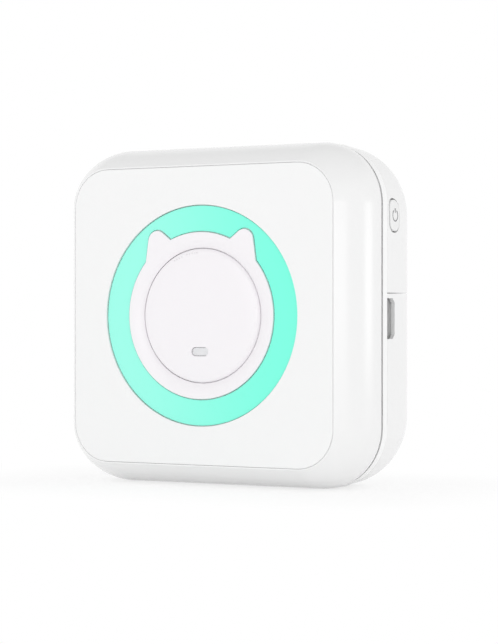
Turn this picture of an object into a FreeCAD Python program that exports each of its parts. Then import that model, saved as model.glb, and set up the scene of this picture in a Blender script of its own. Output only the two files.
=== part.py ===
"""Pocket thermal label printer standing on its lower edge, with a hinged paper lid at the back.

The frame has +X to the printer's right seen from the front, +Y to its back and +Z up.
The origin is under the middle of the printer, on the surface that it stands on.
"""
import FreeCAD, Part
import math
import os
import re

import Sketcher
from FreeCAD import Placement, Rotation, Vector

# Driving sizes in millimetres and degrees
SIZES = {
    # Housing
    "wall": 1.8,
    "corner_radius": 15.5,
    "rear_corner_radius": 18,
    "rear_round": 8,
    "edge_round": 0.25,
    "panel_inset": 5.37,
    "panel_rim": 0.35,
    "panel_gap": 0.05,
    "panel_edge": 0.2,
    "panel_thickness": 1.2,
    "front_wall": 1.6,
    "front_ledge": 3,
    "front_room": 1.3,
    "seam_gap": 1.15,
    "strip_depth": 1.95,
    "strip_bevel": 0.2,
    "strip_lip": 0.6,
    "strip_undercut": 0.9,
    "shut_line": 0.2,
    "tongue_gap": 0.2,
    "tongue_wall": 1.2,
    "tongue_length": 2.2,
    "flange_reach": 6,
    "flange_thickness": 1.8,
    "side_room": 14.5,
    "upper_height": 37.45,
    # Ring ornament
    "ring_radius": 27.4,
    "ring_sink": 0.45,
    "ring_gap": 0.25,
    "inlay_gap": 0.1,
    "bezel_radius": 20.85,
    "bezel_boss_radius": 19,
    "ear_apex_x": 14.5,
    "ear_apex_z": 23.6,
    "ear_inner_x": 6.5,
    "ear_inner_z": 17.3,
    "ear_outer_x": 16.2,
    "ear_outer_z": 11.2,
    "ear_round": 2.6,
    "bezel_edge": 0.2,
    "dish_radius": 20.4,
    "dish_depth": 1.2,
    "cap_radius": 16.8,
    "cap_gap": 0.12,
    "cap_edge": 1.2,
    "cap_flat": 12.5,
    "cap_sink": 0.1,
    "cap_rim": 0.75,
    "cap_thickness": 1.2,
    "cap_ledge": 2,
    "window_drop": 9,
    "window_width": 4.8,
    "window_height": 2,
    "window_round": 0.98,
    "window_sink": 0.6,
    "led_depth": 4,
    "led_board_width": 18,
    "led_board_height": 8,
    "led_board_thickness": 1,
    "led_width": 2,
    "led_height": 1.25,
    "led_thickness": 0.7,
    "led_post_x": 6.5,
    "led_post_radius": 1.2,
    # Paper
    "paper_width": 57,
    "roll_radius": 13.5,
    "roll_gap": 0.8,
    "roll_side_gap": 0.7,
    "roll_back_gap": 1.1,
    "roll_floor_gap": 0.7,
    "roll_offset": 1.4,
    "core_radius": 5.5,
    "core_bore": 4,
    "tub_wall": 1.2,
    # Lid and hinge
    "hinge_radius": 2.3,
    "hinge_pin_radius": 0.8,
    "hinge_ear_inside": 26.5,
    "hinge_ear_width": 3,
    "hinge_ear_radius": 2,
    "hinge_ear_gap": 0.3,
    "hinge_slot_margin": 1.2,
    "running_clearance": 0.05,
    "notch_low": 11.35,
    "notch_height": 10.1,
    "notch_depth": 4.3,
    "notch_corner": 1.1,
    "notch_edge": 1,
    "notch_relief": 1.5,
    "notch_step": 0.4,
    "notch_rib": 1.2,
    "slot_margin": 1,
    "slot_below_seam": 0.85,
    "slot_above_seam": 1.75,
    # Platen and gears
    "platen_radius": 4.5,
    "platen_overlap": 0.5,
    "platen_gap": 3.6,
    "platen_shaft_radius": 2,
    "platen_gear_gap": 1.275,
    "seam_over_platen": 8.15,
    "bushing_radius": 3,
    "arm_radius": 3.9,
    "arm_gap": 0.6,
    "arm_width": 2,
    "plate_gap": 0.4,
    "plate_thickness": 1.4,
    "shaft_slot_drop": 1.1,
    "shaft_end": 0.8,
    "gear_module": 0.5,
    "gear_face": 2,
    "gear_side_gap": 0.6,
    "gear_step": 0.5,
    "gear_addendum": 0.85,
    "gear_dedendum": 1.25,
    "gear_backlash": 0.1,
    "pressure_angle": 20,
    "platen_teeth": 20,
    "small_teeth": 14,
    "large_teeth": 48,
    "pinion_teeth": 14,
    "gear_angle": 160,
    "motor_angle": 110.5,
    "stud_radius": 1.2,
    "clip_radius": 2.4,
    "clip_thickness": 0.5,
    # Thermal head
    "nip_angle": 25,
    "nip_gap": 0.1,
    "head_upstream": 9,
    "head_downstream": 2.5,
    "substrate_thickness": 1,
    "substrate_margin": 1.5,
    "heatsink_thickness": 2.5,
    "heatsink_overhang": 3,
    "heatsink_margin": 0.5,
    "head_cover_length": 4.5,
    "head_cover_thickness": 1,
    "head_cover_inset": 3,
    "head_ear_width": 2.5,
    "head_ear_length": 3.4,
    "pivot_back": 11,
    "pivot_rise": 5.5,
    "pivot_radius": 1.25,
    "bridge_rise": 6.8,
    "bridge_thickness": 1.2,
    "bridge_back": 9,
    "bridge_front": 1,
    "spring_radius": 2,
    "spring_wire": 0.5,
    "spring_x": 15,
    "spring_back": 2,
    # Motor
    "motor_radius": 7.5,
    "motor_length": 14,
    "motor_flange": 1,
    "motor_shaft_radius": 1,
    "motor_shaft_inside": 5,
    "motor_ear_reach": 10.5,
    "motor_ear_radius": 2.6,
    "motor_ear_angle": 45,
    "plate_margin": 3,
    "foot_width": 4,
    "foot_height": 5,
    # Board
    "board_thickness": 1.2,
    "board_height": 20,
    "board_motor_gap": 3,
    "board_side_gap": 5.7,
    "board_top_gap": 3.7,
    "board_corner": 1.5,
    "board_post_radius": 1.8,
    "board_post_inset": 4,
    "chip_width": 7,
    "chip_thickness": 0.9,
    "radio_width": 12,
    "radio_height": 10,
    "radio_thickness": 2,
    "capacitor_count": 3,
    "capacitor_pitch": 5,
    "capacitor_radius": 2,
    "capacitor_length": 3.5,
    "connector_width": 5,
    "connector_height": 3,
    "connector_depth": 2.4,
    "ribbon_width": 16,
    "ribbon_thickness": 0.3,
    "ribbon_bend": 2.5,
    "lead_radius": 0.7,
    "lead_bend": 3,
    # Power button
    "button_depth": 22.3,
    "button_rise": 24.86,
    "button_height": 8.6,
    "button_width": 6,
    "button_flat": 0.55,
    "button_gap": 0.4,
    "button_proud": 0.25,
    "button_lip": 0.5,
    "button_lip_thickness": 1,
    "button_lip_gap": 0.3,
    "button_round": 0.3,
    "button_stem_radius": 1.2,
    "switch_axis": 1.4,
    "switch_height": 6,
    "switch_length": 4,
    "switch_thickness": 2.9,
    "switch_inset": 0.2,
    "plunger_radius": 0.9,
    "plunger_gap": 0.15,
    "plunger_inside": 1.4,
    "plunger_reach": 1.2,
    # Charging socket
    "socket_x": 8,
    "socket_width": 8.94,
    "socket_height": 3.26,
    "socket_flat": 0.06,
    "socket_wall": 0.35,
    "socket_length": 7.35,
    "socket_sink": 0.8,
    "socket_gap": 0.25,
    "socket_depth": 6,
    "socket_tongue_width": 6.7,
    "socket_tongue": 0.7,
    # Battery
    "battery_width": 44,
    "battery_height": 30,
    "battery_thickness": 5,
    "battery_round": 1.5,
    "battery_right": 13,
    "battery_top": 9,
    "tape_thickness": 0.8,
    "tape_height": 9,
    "tape_margin": 4,
    # Fasteners
    "case_screw_x": 10,
    "case_screw_z": 13,
    "case_post_radius": 2.4,
    "boss_inset": 5.4,
    "boss_radius": 2.2,
    "boss_length": 15.4,
    "left_boss_drop": 19.5,
    "right_boss_drop": 32.5,
    "screw_radius": 0.9,
    "screw_head_radius": 1.9,
    "screw_head": 1.1,
    "screw_slot": 0.5,
    "screw_slot_length": 2.3,
    "case_screw_length": 8,
    "short_screw_length": 4,
    "foot_screw_length": 2.8,
    # Tear bar and sensor
    "tear_bar_thickness": 0.8,
    "tear_bar_height": 4.4,
    "tear_tooth_pitch": 1.5,
    "tear_tooth_depth": 0.8,
    "tear_drop": 0.9,
    "sensor_width": 6,
    "sensor_height": 2,
    "sensor_thickness": 1.6,
    "sensor_x": 8,
}

# Places worked out from the driving sizes
PLACES = {
    "half_width": "paper_width / 2 + side_room",
    "roll_z": "2 * hinge_radius + roll_floor_gap + roll_radius",
    "platen_z": "roll_z + roll_radius + platen_gap + platen_radius",
    "lid_seam_z": "platen_z + seam_over_platen",
    "top_z": "lid_seam_z + upper_height",
    "middle_z": "top_z / 2",
    "tub_radius": "roll_radius + roll_gap",
    "front_depth": "panel_thickness + front_wall + front_room + tub_wall + tub_radius"
                   " - roll_offset - strip_depth - seam_gap",
    "rear_depth": "roll_offset + roll_radius + roll_back_gap + wall",
    "depth": "front_depth + seam_gap + strip_depth + rear_depth",
    "front_y": "-depth / 2",
    "back_y": "depth / 2",
    "panel_back_y": "front_y + panel_thickness",
    "front_inside_y": "panel_back_y + front_wall",
    "seam_y": "front_y + front_depth",
    "strip_front_y": "seam_y + seam_gap",
    "strip_rear_y": "strip_front_y + strip_depth",
    "flange_front_y": "strip_rear_y - flange_thickness",
    "rear_front_y": "strip_rear_y + shut_line",
    "back_inside_y": "back_y - wall",
    "swell_depth": "front_depth - edge_round",
    "edge_radius": "(panel_inset ^ 2 + swell_depth ^ 2) / (2 * panel_inset)",
    "edge_inside": "edge_radius - sqrt((edge_radius - wall) ^ 2"
                   " - (swell_depth - panel_thickness - front_wall) ^ 2)",
    "recess_inset": "panel_inset + panel_rim",
    "roll_y": "strip_rear_y + roll_offset",
    "tub_half": "paper_width / 2 + roll_side_gap",
    "tub_mouth": "sqrt(tub_radius ^ 2 - roll_offset ^ 2)",
    "tub_mouth_outside": "sqrt((tub_radius + tub_wall) ^ 2 - roll_offset ^ 2)",
    "hinge_y": "rear_front_y + hinge_radius",
    "hinge_z": "hinge_radius",
    "hinge_ear_outside": "hinge_ear_inside + hinge_ear_width",
    "platen_gear_tip": "gear_module * (platen_teeth / 2 + gear_addendum)",
    "platen_y": "back_inside_y - platen_gear_tip - platen_gear_gap",
    "platen_half": "paper_width / 2 + platen_overlap",
    "arm_inside": "platen_half + arm_gap",
    "arm_outside": "arm_inside + arm_width",
    "plate_inside": "arm_outside + plate_gap",
    "plate_outside": "plate_inside + plate_thickness",
    "gear_inside": "plate_outside + gear_side_gap",
    "gear_middle": "gear_inside + gear_face",
    "large_inside": "gear_middle + gear_step",
    "gear_outside": "large_inside + gear_face",
    "gear_distance": "gear_module * (platen_teeth + small_teeth) / 2",
    "gear_y": "platen_y + gear_distance * cos(gear_angle)",
    "gear_z": "platen_z + gear_distance * sin(gear_angle)",
    "large_tip": "gear_module * (large_teeth / 2 + gear_addendum)",
    "motor_distance": "gear_module * (large_teeth + pinion_teeth) / 2",
    "motor_y": "gear_y + motor_distance * cos(motor_angle)",
    "motor_z": "gear_z + motor_distance * sin(motor_angle)",
    "pinion_tip": "gear_module * (pinion_teeth / 2 + gear_addendum)",
    "nip_y": "platen_y - platen_radius * sin(nip_angle)",
    "nip_z": "platen_z + platen_radius * cos(nip_angle)",
    "substrate_half": "paper_width / 2 - substrate_margin",
    "heatsink_half": "paper_width / 2 + heatsink_margin",
    "substrate_top": "nip_gap + substrate_thickness",
    "heatsink_top": "substrate_top + heatsink_thickness",
    "heatsink_back": "head_upstream + heatsink_overhang",
    "button_y": "front_y + button_depth",
    "button_z": "middle_z + button_rise",
    "board_y": "button_y + switch_axis",
    "board_back_y": "board_y + board_thickness",
    "board_right": "half_width - wall - board_side_gap",
    "board_left": "-plate_inside + motor_flange + motor_length + board_motor_gap",
    "board_width": "board_right - board_left",
    "board_top": "top_z - wall - board_top_gap",
    "board_low": "board_top - board_height",
    "switch_right": "board_right - switch_inset",
    "button_face": "half_width + button_proud",
    "button_lip_out": "half_width - wall - button_lip_gap",
    "button_lip_in": "button_lip_out - button_lip_thickness",
    "battery_y": "front_inside_y + tape_thickness",
    "battery_right_x": "half_width - battery_right",
    "battery_left_x": "battery_right_x - battery_width",
    "battery_top_z": "top_z - battery_top",
    "battery_low_z": "battery_top_z - battery_height",
    "window_z": "middle_z - window_drop",
    "cap_hole": "cap_radius + cap_gap",
    "dish_width": "dish_radius - cap_hole",
    "dish_fall": "min(dish_depth; dish_width)",
    "cap_seat_y": "front_y + cap_rim + cap_thickness",
    "led_board_y": "front_y + led_depth",
    "post_x": "half_width - case_screw_x",
    "post_high_z": "top_z - case_screw_z",
    "boss_x": "half_width - boss_inset",
    "left_boss_z": "top_z - left_boss_drop",
    "right_boss_z": "top_z - right_boss_drop",
    "slot_half": "paper_width / 2 + slot_margin",
    "slot_low_z": "lid_seam_z - slot_below_seam",
    "slot_high_z": "lid_seam_z + slot_above_seam",
    "bar_z": "roll_z + tub_mouth",
    "bar_top_z": "bar_z + plate_margin",
    "foot_top_z": "gear_z - large_tip - gear_side_gap",
    "foot_z": "foot_top_z - foot_height",
    "foot_screw_x": "plate_outside + foot_width / 2",
    "foot_screw_z": "foot_z + foot_height / 2",
    "large_low_z": "gear_z - large_tip - plate_margin / 2",
    "large_high_z": "motor_z + pinion_tip + gear_side_gap",
    "opening_left": "-gear_outside - gear_side_gap - clip_thickness",
    "motor_high_z": "motor_z + motor_ear_reach * sin(motor_ear_angle) + motor_ear_radius",
    "board_post_right": "board_right - board_post_inset",
    "board_post_left": "board_left + board_post_inset",
    "board_post_low": "board_low + board_post_inset / 2",
    "board_post_high": "board_top - board_post_inset / 2",
    "opening_right": "board_post_right - board_post_inset",
    "opening_top": "board_post_high - board_post_radius",
    "lead_z": "board_top - board_height / 2",
}

# How close two places count as the same, in millimetres
NEAR = 1e-4

doc = FreeCAD.newDocument("label_printer")
PARTS = []


def fill_sheets():
    """Write the driving sizes as plain numbers and the places as formulas on them."""
    sizes = doc.addObject("Spreadsheet::Sheet", "Sizes")
    for row, (name, value) in enumerate(SIZES.items(), start=1):
        sizes.set(f"A{row}", name)
        sizes.set(f"B{row}", str(value))
        sizes.setAlias(f"B{row}", name)
    places = doc.addObject("Spreadsheet::Sheet", "Places")
    for row, (name, formula) in enumerate(PLACES.items(), start=1):
        places.set(f"A{row}", name)
        places.set(f"B{row}", "=" + link(formula))
        places.setAlias(f"B{row}", name)
        doc.recompute()
    return sizes


def link(text):
    """An expression with each name tied to its cell."""
    def cell(match):
        name = match.group()
        if name in SIZES:
            return f"Sizes.{name}"
        if name in PLACES:
            return f"Places.{name}"
        return name
    return re.sub(r"[a-z][a-z_]*", cell, text)


sheet = fill_sheets()


def number(text):
    """The value of an expression now."""
    return float(sheet.evalExpression(link(text)))


# Sketch outlines

def box(left, low, right, high):
    """The corners of an upright rectangle."""
    return [(left, low), (right, low), (right, high), (left, high)]


def round_box(left, low, right, high, radius):
    """The corners of a rectangle with rounded corners, run clockwise from the upper left."""
    return [
        (f"({left}) + ({radius})", high), (f"({right}) - ({radius})", high, radius),
        (right, f"({high}) - ({radius})"), (right, f"({low}) + ({radius})", radius),
        (f"({right}) - ({radius})", low), (f"({left}) + ({radius})", low, radius),
        (left, f"({low}) + ({radius})"), (left, f"({high}) - ({radius})", radius),
    ]


def housing_outline(inset, corner="corner_radius"):
    """The rounded square of the housing, drawn in by an inset."""
    side = f"(half_width - ({inset}))"
    return round_box(f"-{side}", inset, side, f"top_z - ({inset})", f"{corner} - ({inset})")


def circle(across, up, radius):
    """A round outline."""
    return {"centre": (across, up), "radius": radius}


def nip_point(along, off):
    """A point beside the print line, measured along the paper's way and off the platen."""
    return (f"nip_y + ({along}) * cos(nip_angle) - ({off}) * sin(nip_angle)",
            f"nip_z + ({along}) * sin(nip_angle) + ({off}) * cos(nip_angle)")


def nip_box(start, low, end, high):
    """The corners of a rectangle that lies along the paper's way."""
    return [nip_point(start, low), nip_point(end, low), nip_point(end, high), nip_point(start, high)]


def bulge(start, end, radius):
    """The middle point of an arc that swells to the left of its way for a positive radius."""
    half = (end - start) / 2
    rise = abs(radius) - math.sqrt(max(radius ** 2 - half.Length ** 2, 0))
    left = Vector(-half.y, half.x, 0) / half.Length
    return start + half + left * math.copysign(rise, radius)


def tie(sketch, kind, where, text):
    """A measured constraint bound to the sheets."""
    index = sketch.addConstraint(Sketcher.Constraint(kind, *where, number(text)))
    sketch.setExpression(f"Constraints[{index}]", link(text))


def draw_circle(sketch, shape):
    """A circle fixed by its centre and radius."""
    across, up = shape["centre"]
    centre = Vector(number(across), number(up), 0)
    index = sketch.addGeometry(Part.Circle(centre, Vector(0, 0, 1), number(shape["radius"])))
    tie(sketch, "DistanceX", (-1, 1, index, 3), across)
    tie(sketch, "DistanceY", (-1, 1, index, 3), up)
    tie(sketch, "Radius", (index,), shape["radius"])


def draw_outline(sketch, corners, closed=True):
    """Lines, and arcs from each corner that has a radius, through corners fixed one by one."""
    points = [Vector(number(corner[0]), number(corner[1]), 0) for corner in corners]
    runs = len(points) if closed else len(points) - 1
    starts = []
    for index in range(runs):
        start = points[index]
        end = points[(index + 1) % len(points)]
        curve = Part.LineSegment(start, end)
        if len(corners[index]) > 2:
            curve = Part.Arc(start, bulge(start, end, number(corners[index][2])), end)
        edge = sketch.addGeometry(curve)
        near = (sketch.getPoint(edge, 1) - start).Length < (sketch.getPoint(edge, 2) - start).Length
        starts.append((edge, 1 if near else 2))
    for index, (edge, start) in enumerate(starts):
        tie(sketch, "DistanceX", (-1, 1, edge, start), corners[index][0])
        tie(sketch, "DistanceY", (-1, 1, edge, start), corners[index][1])
        if index + 1 < runs or closed:
            after, first = starts[(index + 1) % runs]
            sketch.addConstraint(Sketcher.Constraint("Coincident", edge, 3 - start, after, first))
        else:
            tie(sketch, "DistanceX", (-1, 1, edge, 3 - start), corners[-1][0])
            tie(sketch, "DistanceY", (-1, 1, edge, 3 - start), corners[-1][1])
        if len(corners[index]) > 2:
            tie(sketch, "Radius", (edge,), f"abs({corners[index][2]})")


# Features

PLANES = {"x": ("YZ_Plane", 1), "y": ("XZ_Plane", -1), "z": ("XY_Plane", 1)}


def new_body(label):
    """A sub-part that is kept under its label."""
    body = doc.addObject("PartDesign::Body", label)
    body.Label = label
    PARTS.append(body)
    return body


def new_sketch(body, axis, place, shapes, up="0", closed=True):
    """A sketch square to an axis, at a place along it and raised by an offset."""
    role, sense = PLANES[axis]
    sketch = body.newObject("Sketcher::SketchObject", "Outline")
    sketch.AttachmentSupport = [(next(f for f in body.Origin.OriginFeatures if f.Role == role), "")]
    sketch.MapMode = "FlatFace"
    sketch.setExpression("AttachmentOffset.Base.z", link(f"{sense} * ({place})"))
    sketch.setExpression("AttachmentOffset.Base.y", link(up))
    for shape in shapes:
        if isinstance(shape, dict):
            draw_circle(sketch, shape)
        else:
            draw_outline(sketch, shape, closed)
    return sketch


def pad(body, axis, low, high, *shapes):
    """Material along an axis between two places."""
    sketch = new_sketch(body, axis, high if axis == "y" else low, shapes)
    feature = body.newObject("PartDesign::Pad", "Pad")
    feature.Profile = sketch
    feature.setExpression("Length", link(f"({high}) - ({low})"))
    return feature


def pocket(body, axis, low, high, *shapes):
    """A cut along an axis between two places."""
    sketch = new_sketch(body, axis, low if axis == "y" else high, shapes)
    feature = body.newObject("PartDesign::Pocket", "Pocket")
    feature.Profile = sketch
    feature.setExpression("Length", link(f"({high}) - ({low})"))
    return feature


def turn(body, kind, up, corners):
    """A full turn of a profile, drawn as depth and radius, about a level line along Y."""
    sketch = new_sketch(body, "x", "0", [corners], up)
    feature = body.newObject(f"PartDesign::{kind}", kind)
    feature.Profile = sketch
    feature.ReferenceAxis = (sketch, ["H_Axis"])
    feature.Angle = 360
    return feature


def sweep(body, profile, spine):
    """Material along a path."""
    feature = body.newObject("PartDesign::AdditivePipe", "Sweep")
    feature.Profile = profile
    feature.Spine = spine
    return feature


def round_edges(body, radius, chosen):
    """A fillet on the edges that a test picks."""
    doc.recompute()
    base = body.Tip
    names = [f"Edge{index}" for index, edge in enumerate(base.Shape.Edges, 1) if chosen(edge)]
    feature = body.newObject("PartDesign::Fillet", "Fillet")
    feature.Base = (base, names)
    feature.setExpression("Radius", link(radius))
    return feature


def lies_at(axis, place):
    """A test for edges that lie wholly at a place along an axis."""
    where = number(place)

    def test(edge):
        limits = edge.BoundBox
        low = getattr(limits, f"{axis.upper()}Min")
        high = getattr(limits, f"{axis.upper()}Max")
        return abs(low - where) < NEAR and abs(high - where) < NEAR
    return test


def runs_along(axis):
    """A test for straight edges along an axis."""
    way = Vector(*(1 if name == axis else 0 for name in "xyz"))

    def test(edge):
        span = edge.Vertexes[-1].Point - edge.Vertexes[0].Point
        return span.Length > NEAR and abs(abs(span.normalize() * way) - 1) < NEAR
    return test


def rod(label, axis, low, high, across, up, radius, bore=None):
    """A plain round rod, or a tube."""
    body = new_body(label)
    shapes = [circle(across, up, radius)]
    if bore:
        shapes.append(circle(across, up, bore))
    pad(body, axis, low, high, *shapes)
    return body


def slab(label, axis, low, high, *shapes):
    """A plain plate with its holes."""
    body = new_body(label)
    pad(body, axis, low, high, *shapes)
    return body


def group(label, bodies):
    """Like pieces that share one node."""
    for body in bodies:
        PARTS.remove(body)
    node = doc.addObject("Part::Compound", label)
    node.Label = label
    node.Links = bodies
    PARTS.append(node)
    return node


def mirrored(low, high):
    """The same range on the left and on the right."""
    return [(f"-({high})", f"-({low})"), (low, high)]


# Housing

def housing_path(body, corner="corner_radius"):
    """The outer line of the housing's edge, from the middle of the top."""
    corners = [("0", "top_z")] + housing_outline("0", corner)[1:] + [(f"-half_width + {corner}", "top_z")]
    return new_sketch(body, "y", "0", [corners])


def make_front_shell():
    """Front half: a swelling edge, a wall behind the face plate and four screw posts."""
    body = new_body("front_shell")
    inner = "top_z - recess_inset - front_ledge"
    profile = new_sketch(body, "x", "0", [[
        ("front_y", "top_z - panel_inset", "edge_radius"),
        ("seam_y - edge_round", "top_z", "edge_round"),
        ("seam_y", "top_z - edge_round"),
        ("seam_y", "top_z - wall"),
        ("seam_y - edge_round", "top_z - wall", "wall - edge_radius"),
        ("front_inside_y", "top_z - edge_inside"),
        ("front_inside_y", inner),
        ("panel_back_y", inner),
        ("panel_back_y", "top_z - recess_inset"),
        ("front_y + panel_edge", "top_z - recess_inset", "panel_edge"),
        ("front_y", "top_z - recess_inset + panel_edge"),
    ]])
    sweep(body, profile, housing_path(body))
    pad(body, "y", "panel_back_y", "front_inside_y", housing_outline("recess_inset + front_ledge / 2"))
    for z in ("case_screw_z", "post_high_z"):
        for x in ("-post_x", "post_x"):
            pad(body, "y", "front_inside_y - front_wall / 2", "flange_front_y",
                circle(x, z, "case_post_radius"))
            pocket(body, "y", "strip_rear_y - case_screw_length", "strip_rear_y",
                   circle(x, z, "screw_radius"))
    pocket(body, "y", "front_y", "seam_y", circle("0", "middle_z", "bezel_boss_radius + inlay_gap"))


def make_front_panel():
    """Flat face plate with a soft outer edge and a round opening for the ring."""
    body = slab("front_panel", "y", "front_y", "panel_back_y",
                housing_outline("recess_inset + panel_gap"),
                circle("0", "middle_z", "ring_radius + ring_gap"))
    on_face = lies_at("y", "front_y")
    round_edges(body, "panel_edge", lambda edge: on_face(edge) and not edge.isClosed())


def ear(side, grow):
    """One pointed ear, grown all round by a gap."""
    return [
        (f"{side} * (ear_inner_x - {grow})", f"middle_z + ear_inner_z + {grow}"),
        (f"{side} * (ear_apex_x + {grow})", f"middle_z + ear_apex_z + 2 * {grow}"),
        (f"{side} * (ear_outer_x + {grow})", f"middle_z + ear_outer_z"),
        (f"{side} * ear_inner_x", f"middle_z + ear_outer_z"),
    ]


def ear_tip(edge):
    """The edge at the point of an ear."""
    middle = edge.BoundBox.Center
    high = middle.z > number("middle_z + ear_apex_z") - NEAR
    return runs_along("y")(edge) and high


def eared_disc(body, low, high, grow):
    """A disc with two pointed ears, rounded at their tips."""
    pad(body, "y", low, high, circle("0", "middle_z", f"bezel_radius + {grow}"))
    for side in ("-1", "1"):
        pad(body, "y", low, high, ear(side, grow))
    round_edges(body, f"ear_round + {grow}", ear_tip)


def make_ring():
    """Coloured ring let into the plate, open in the shape of the eared disc."""
    ring = rod("ring_blank", "y", "front_y + ring_sink", "panel_back_y", "0", "middle_z", "ring_radius")
    opening = new_body("ring_opening")
    eared_disc(opening, "front_y", "panel_back_y + wall", "ring_gap")
    for body in (ring, opening):
        PARTS.remove(body)
    node = doc.addObject("Part::Cut", "accent_ring")
    node.Label = "accent_ring"
    node.Base = ring
    node.Tool = opening
    PARTS.append(node)


def bezel_rim(edge):
    """The outer edge of the eared disc's face."""
    start = edge.Vertexes[0].Point
    reach = math.hypot(start.x, start.z - number("middle_z"))
    return lies_at("y", "front_y")(edge) and reach > number("bezel_radius") - NEAR


def make_ear_bezel():
    """Dished ring with ears, held by a boss through the front wall, with a seat for the disc."""
    body = new_body("ear_bezel")
    eared_disc(body, "front_y", "panel_back_y", "0")
    pad(body, "y", "panel_back_y", "front_inside_y", circle("0", "middle_z", "bezel_boss_radius"))
    curve = "(dish_width ^ 2 + dish_fall ^ 2) / (2 * dish_fall)"
    turn(body, "Groove", "middle_z", [
        ("front_y - wall", "0"),
        ("front_y - wall", "dish_radius"),
        ("front_y", "dish_radius", f"-{curve}"),
        ("front_y + dish_fall", "cap_hole"),
        ("cap_seat_y", "cap_hole"),
        ("cap_seat_y", "cap_radius - cap_ledge"),
        ("front_inside_y + wall", "cap_radius - cap_ledge"),
        ("front_inside_y + wall", "0"),
    ])
    round_edges(body, "bezel_edge", bezel_rim)


def window_outline(grow):
    """A soft oval in the middle of the disc's lower half, grown by a gap."""
    half_width = f"(window_width / 2 + {grow})"
    half_height = f"(window_height / 2 + {grow})"
    return round_box(f"-{half_width}", f"window_z - {half_height}", half_width,
                     f"window_z + {half_height}", f"window_round + {grow}")


def make_centre_cap():
    """Pillow-shaped disc with a window and two posts for the light's board."""
    body = new_body("centre_cap")
    fall = "(cap_rim - cap_sink)"
    roll = f"((cap_radius - cap_flat) ^ 2 + {fall} ^ 2) / (2 * {fall})"
    turn(body, "Revolution", "middle_z", [
        ("front_y + cap_sink", "0"),
        ("front_y + cap_sink", "cap_flat", roll),
        ("front_y + cap_rim", "cap_radius"),
        ("cap_seat_y", "cap_radius"),
        ("cap_seat_y", "0"),
    ])
    round_edges(body, "cap_edge", lies_at("y", "front_y + cap_rim"))
    for x in ("-led_post_x", "led_post_x"):
        pad(body, "y", "cap_seat_y - cap_thickness / 2", "led_board_y",
            circle(x, "window_z", "led_post_radius"))
    pocket(body, "y", "front_y", "led_board_y", window_outline("inlay_gap"))


def make_status_light():
    """Light window in the disc, its lamp and the small board that carries the lamp."""
    slab("status_window", "y", "front_y + window_sink", "led_board_y - led_thickness", window_outline("0"))
    slab("led_board", "y", "led_board_y", "led_board_y + led_board_thickness",
         box("-led_board_width / 2", "window_z - led_board_height / 2",
             "led_board_width / 2", "window_z + led_board_height / 2"))
    slab("status_led", "y", "led_board_y - led_thickness", "led_board_y",
         box("-led_width / 2", "window_z - led_height / 2", "led_width / 2", "window_z + led_height / 2"))


def make_mid_frame():
    """Frame with the bevelled, undercut strip, a flange, the roll's tub, hinge ears and board posts."""
    body = new_body("mid_frame")
    tongue = "wall + tongue_gap"
    profile = new_sketch(body, "x", "0", [[
        ("strip_front_y", "top_z - strip_bevel"),
        ("strip_rear_y", "top_z"),
        ("strip_rear_y", "top_z - flange_reach"),
        ("flange_front_y", "top_z - flange_reach"),
        ("flange_front_y", f"top_z - ({tongue}) - tongue_wall"),
        ("seam_y - tongue_length", f"top_z - ({tongue}) - tongue_wall"),
        ("seam_y - tongue_length", f"top_z - ({tongue})"),
        ("strip_front_y + strip_undercut", f"top_z - ({tongue})"),
        ("strip_front_y + strip_undercut", "top_z - strip_bevel - strip_lip"),
    ]])
    sweep(body, profile, housing_path(body))
    pad(body, "y", "flange_front_y", "strip_rear_y", housing_outline("flange_reach - tongue_wall"))
    for left, low, right, high in (
        ("-plate_outside - plate_gap", "bar_top_z", "plate_outside + plate_gap", "board_low - plate_margin"),
        ("-plate_outside - plate_gap", "bar_top_z", "opening_right", "motor_high_z + plate_gap"),
        ("-post_x + 2 * case_post_radius", "bar_top_z", "opening_right", "opening_top"),
        ("opening_left", "large_low_z", "-large_inside + plate_gap", "large_high_z"),
        ("opening_left", "bar_top_z", "-plate_outside", "large_high_z"),
        ("-tub_half", "roll_z - tub_mouth", "tub_half", "roll_z + tub_mouth"),
    ):
        pocket(body, "y", "flange_front_y - tongue_wall", "strip_rear_y + wall", box(left, low, right, high))
    add_tub(body)
    add_hinge_ears(body)
    for x, z in (("-post_x", "case_screw_z"), ("post_x", "case_screw_z"),
                 ("-post_x", "post_high_z"), ("post_x", "post_high_z"),
                 ("-boss_x", "left_boss_z"), ("boss_x", "right_boss_z"),
                 ("-foot_screw_x", "foot_screw_z"), ("foot_screw_x", "foot_screw_z")):
        pocket(body, "y", "flange_front_y", "strip_rear_y", circle(x, z, "screw_radius"))
    for x, z in board_screw_places():
        pad(body, "y", "strip_rear_y - flange_thickness / 2", "board_y", circle(x, z, "board_post_radius"))
        pocket(body, "y", "board_back_y - short_screw_length", "board_back_y", circle(x, z, "screw_radius"))


def board_screw_places():
    """Where the main board is screwed down."""
    return [("board_post_right", "board_post_low"), ("board_post_right", "board_post_high"),
            ("board_post_left", "board_post_high")]


def add_tub(body):
    """Half-round tub for the front half of the roll, with its two end walls."""
    low_out = ("strip_rear_y", "roll_z - tub_mouth_outside", "tub_radius + tub_wall")
    high_out = ("strip_rear_y", "roll_z + tub_mouth_outside")
    pad(body, "x", "-tub_half - tub_wall", "tub_half + tub_wall", [
        low_out, high_out,
        ("strip_rear_y", "roll_z + tub_mouth", "-tub_radius"), ("strip_rear_y", "roll_z - tub_mouth"),
    ])
    for low, high in mirrored("tub_half", "tub_half + tub_wall"):
        pad(body, "x", low, high, [low_out, high_out])


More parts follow.
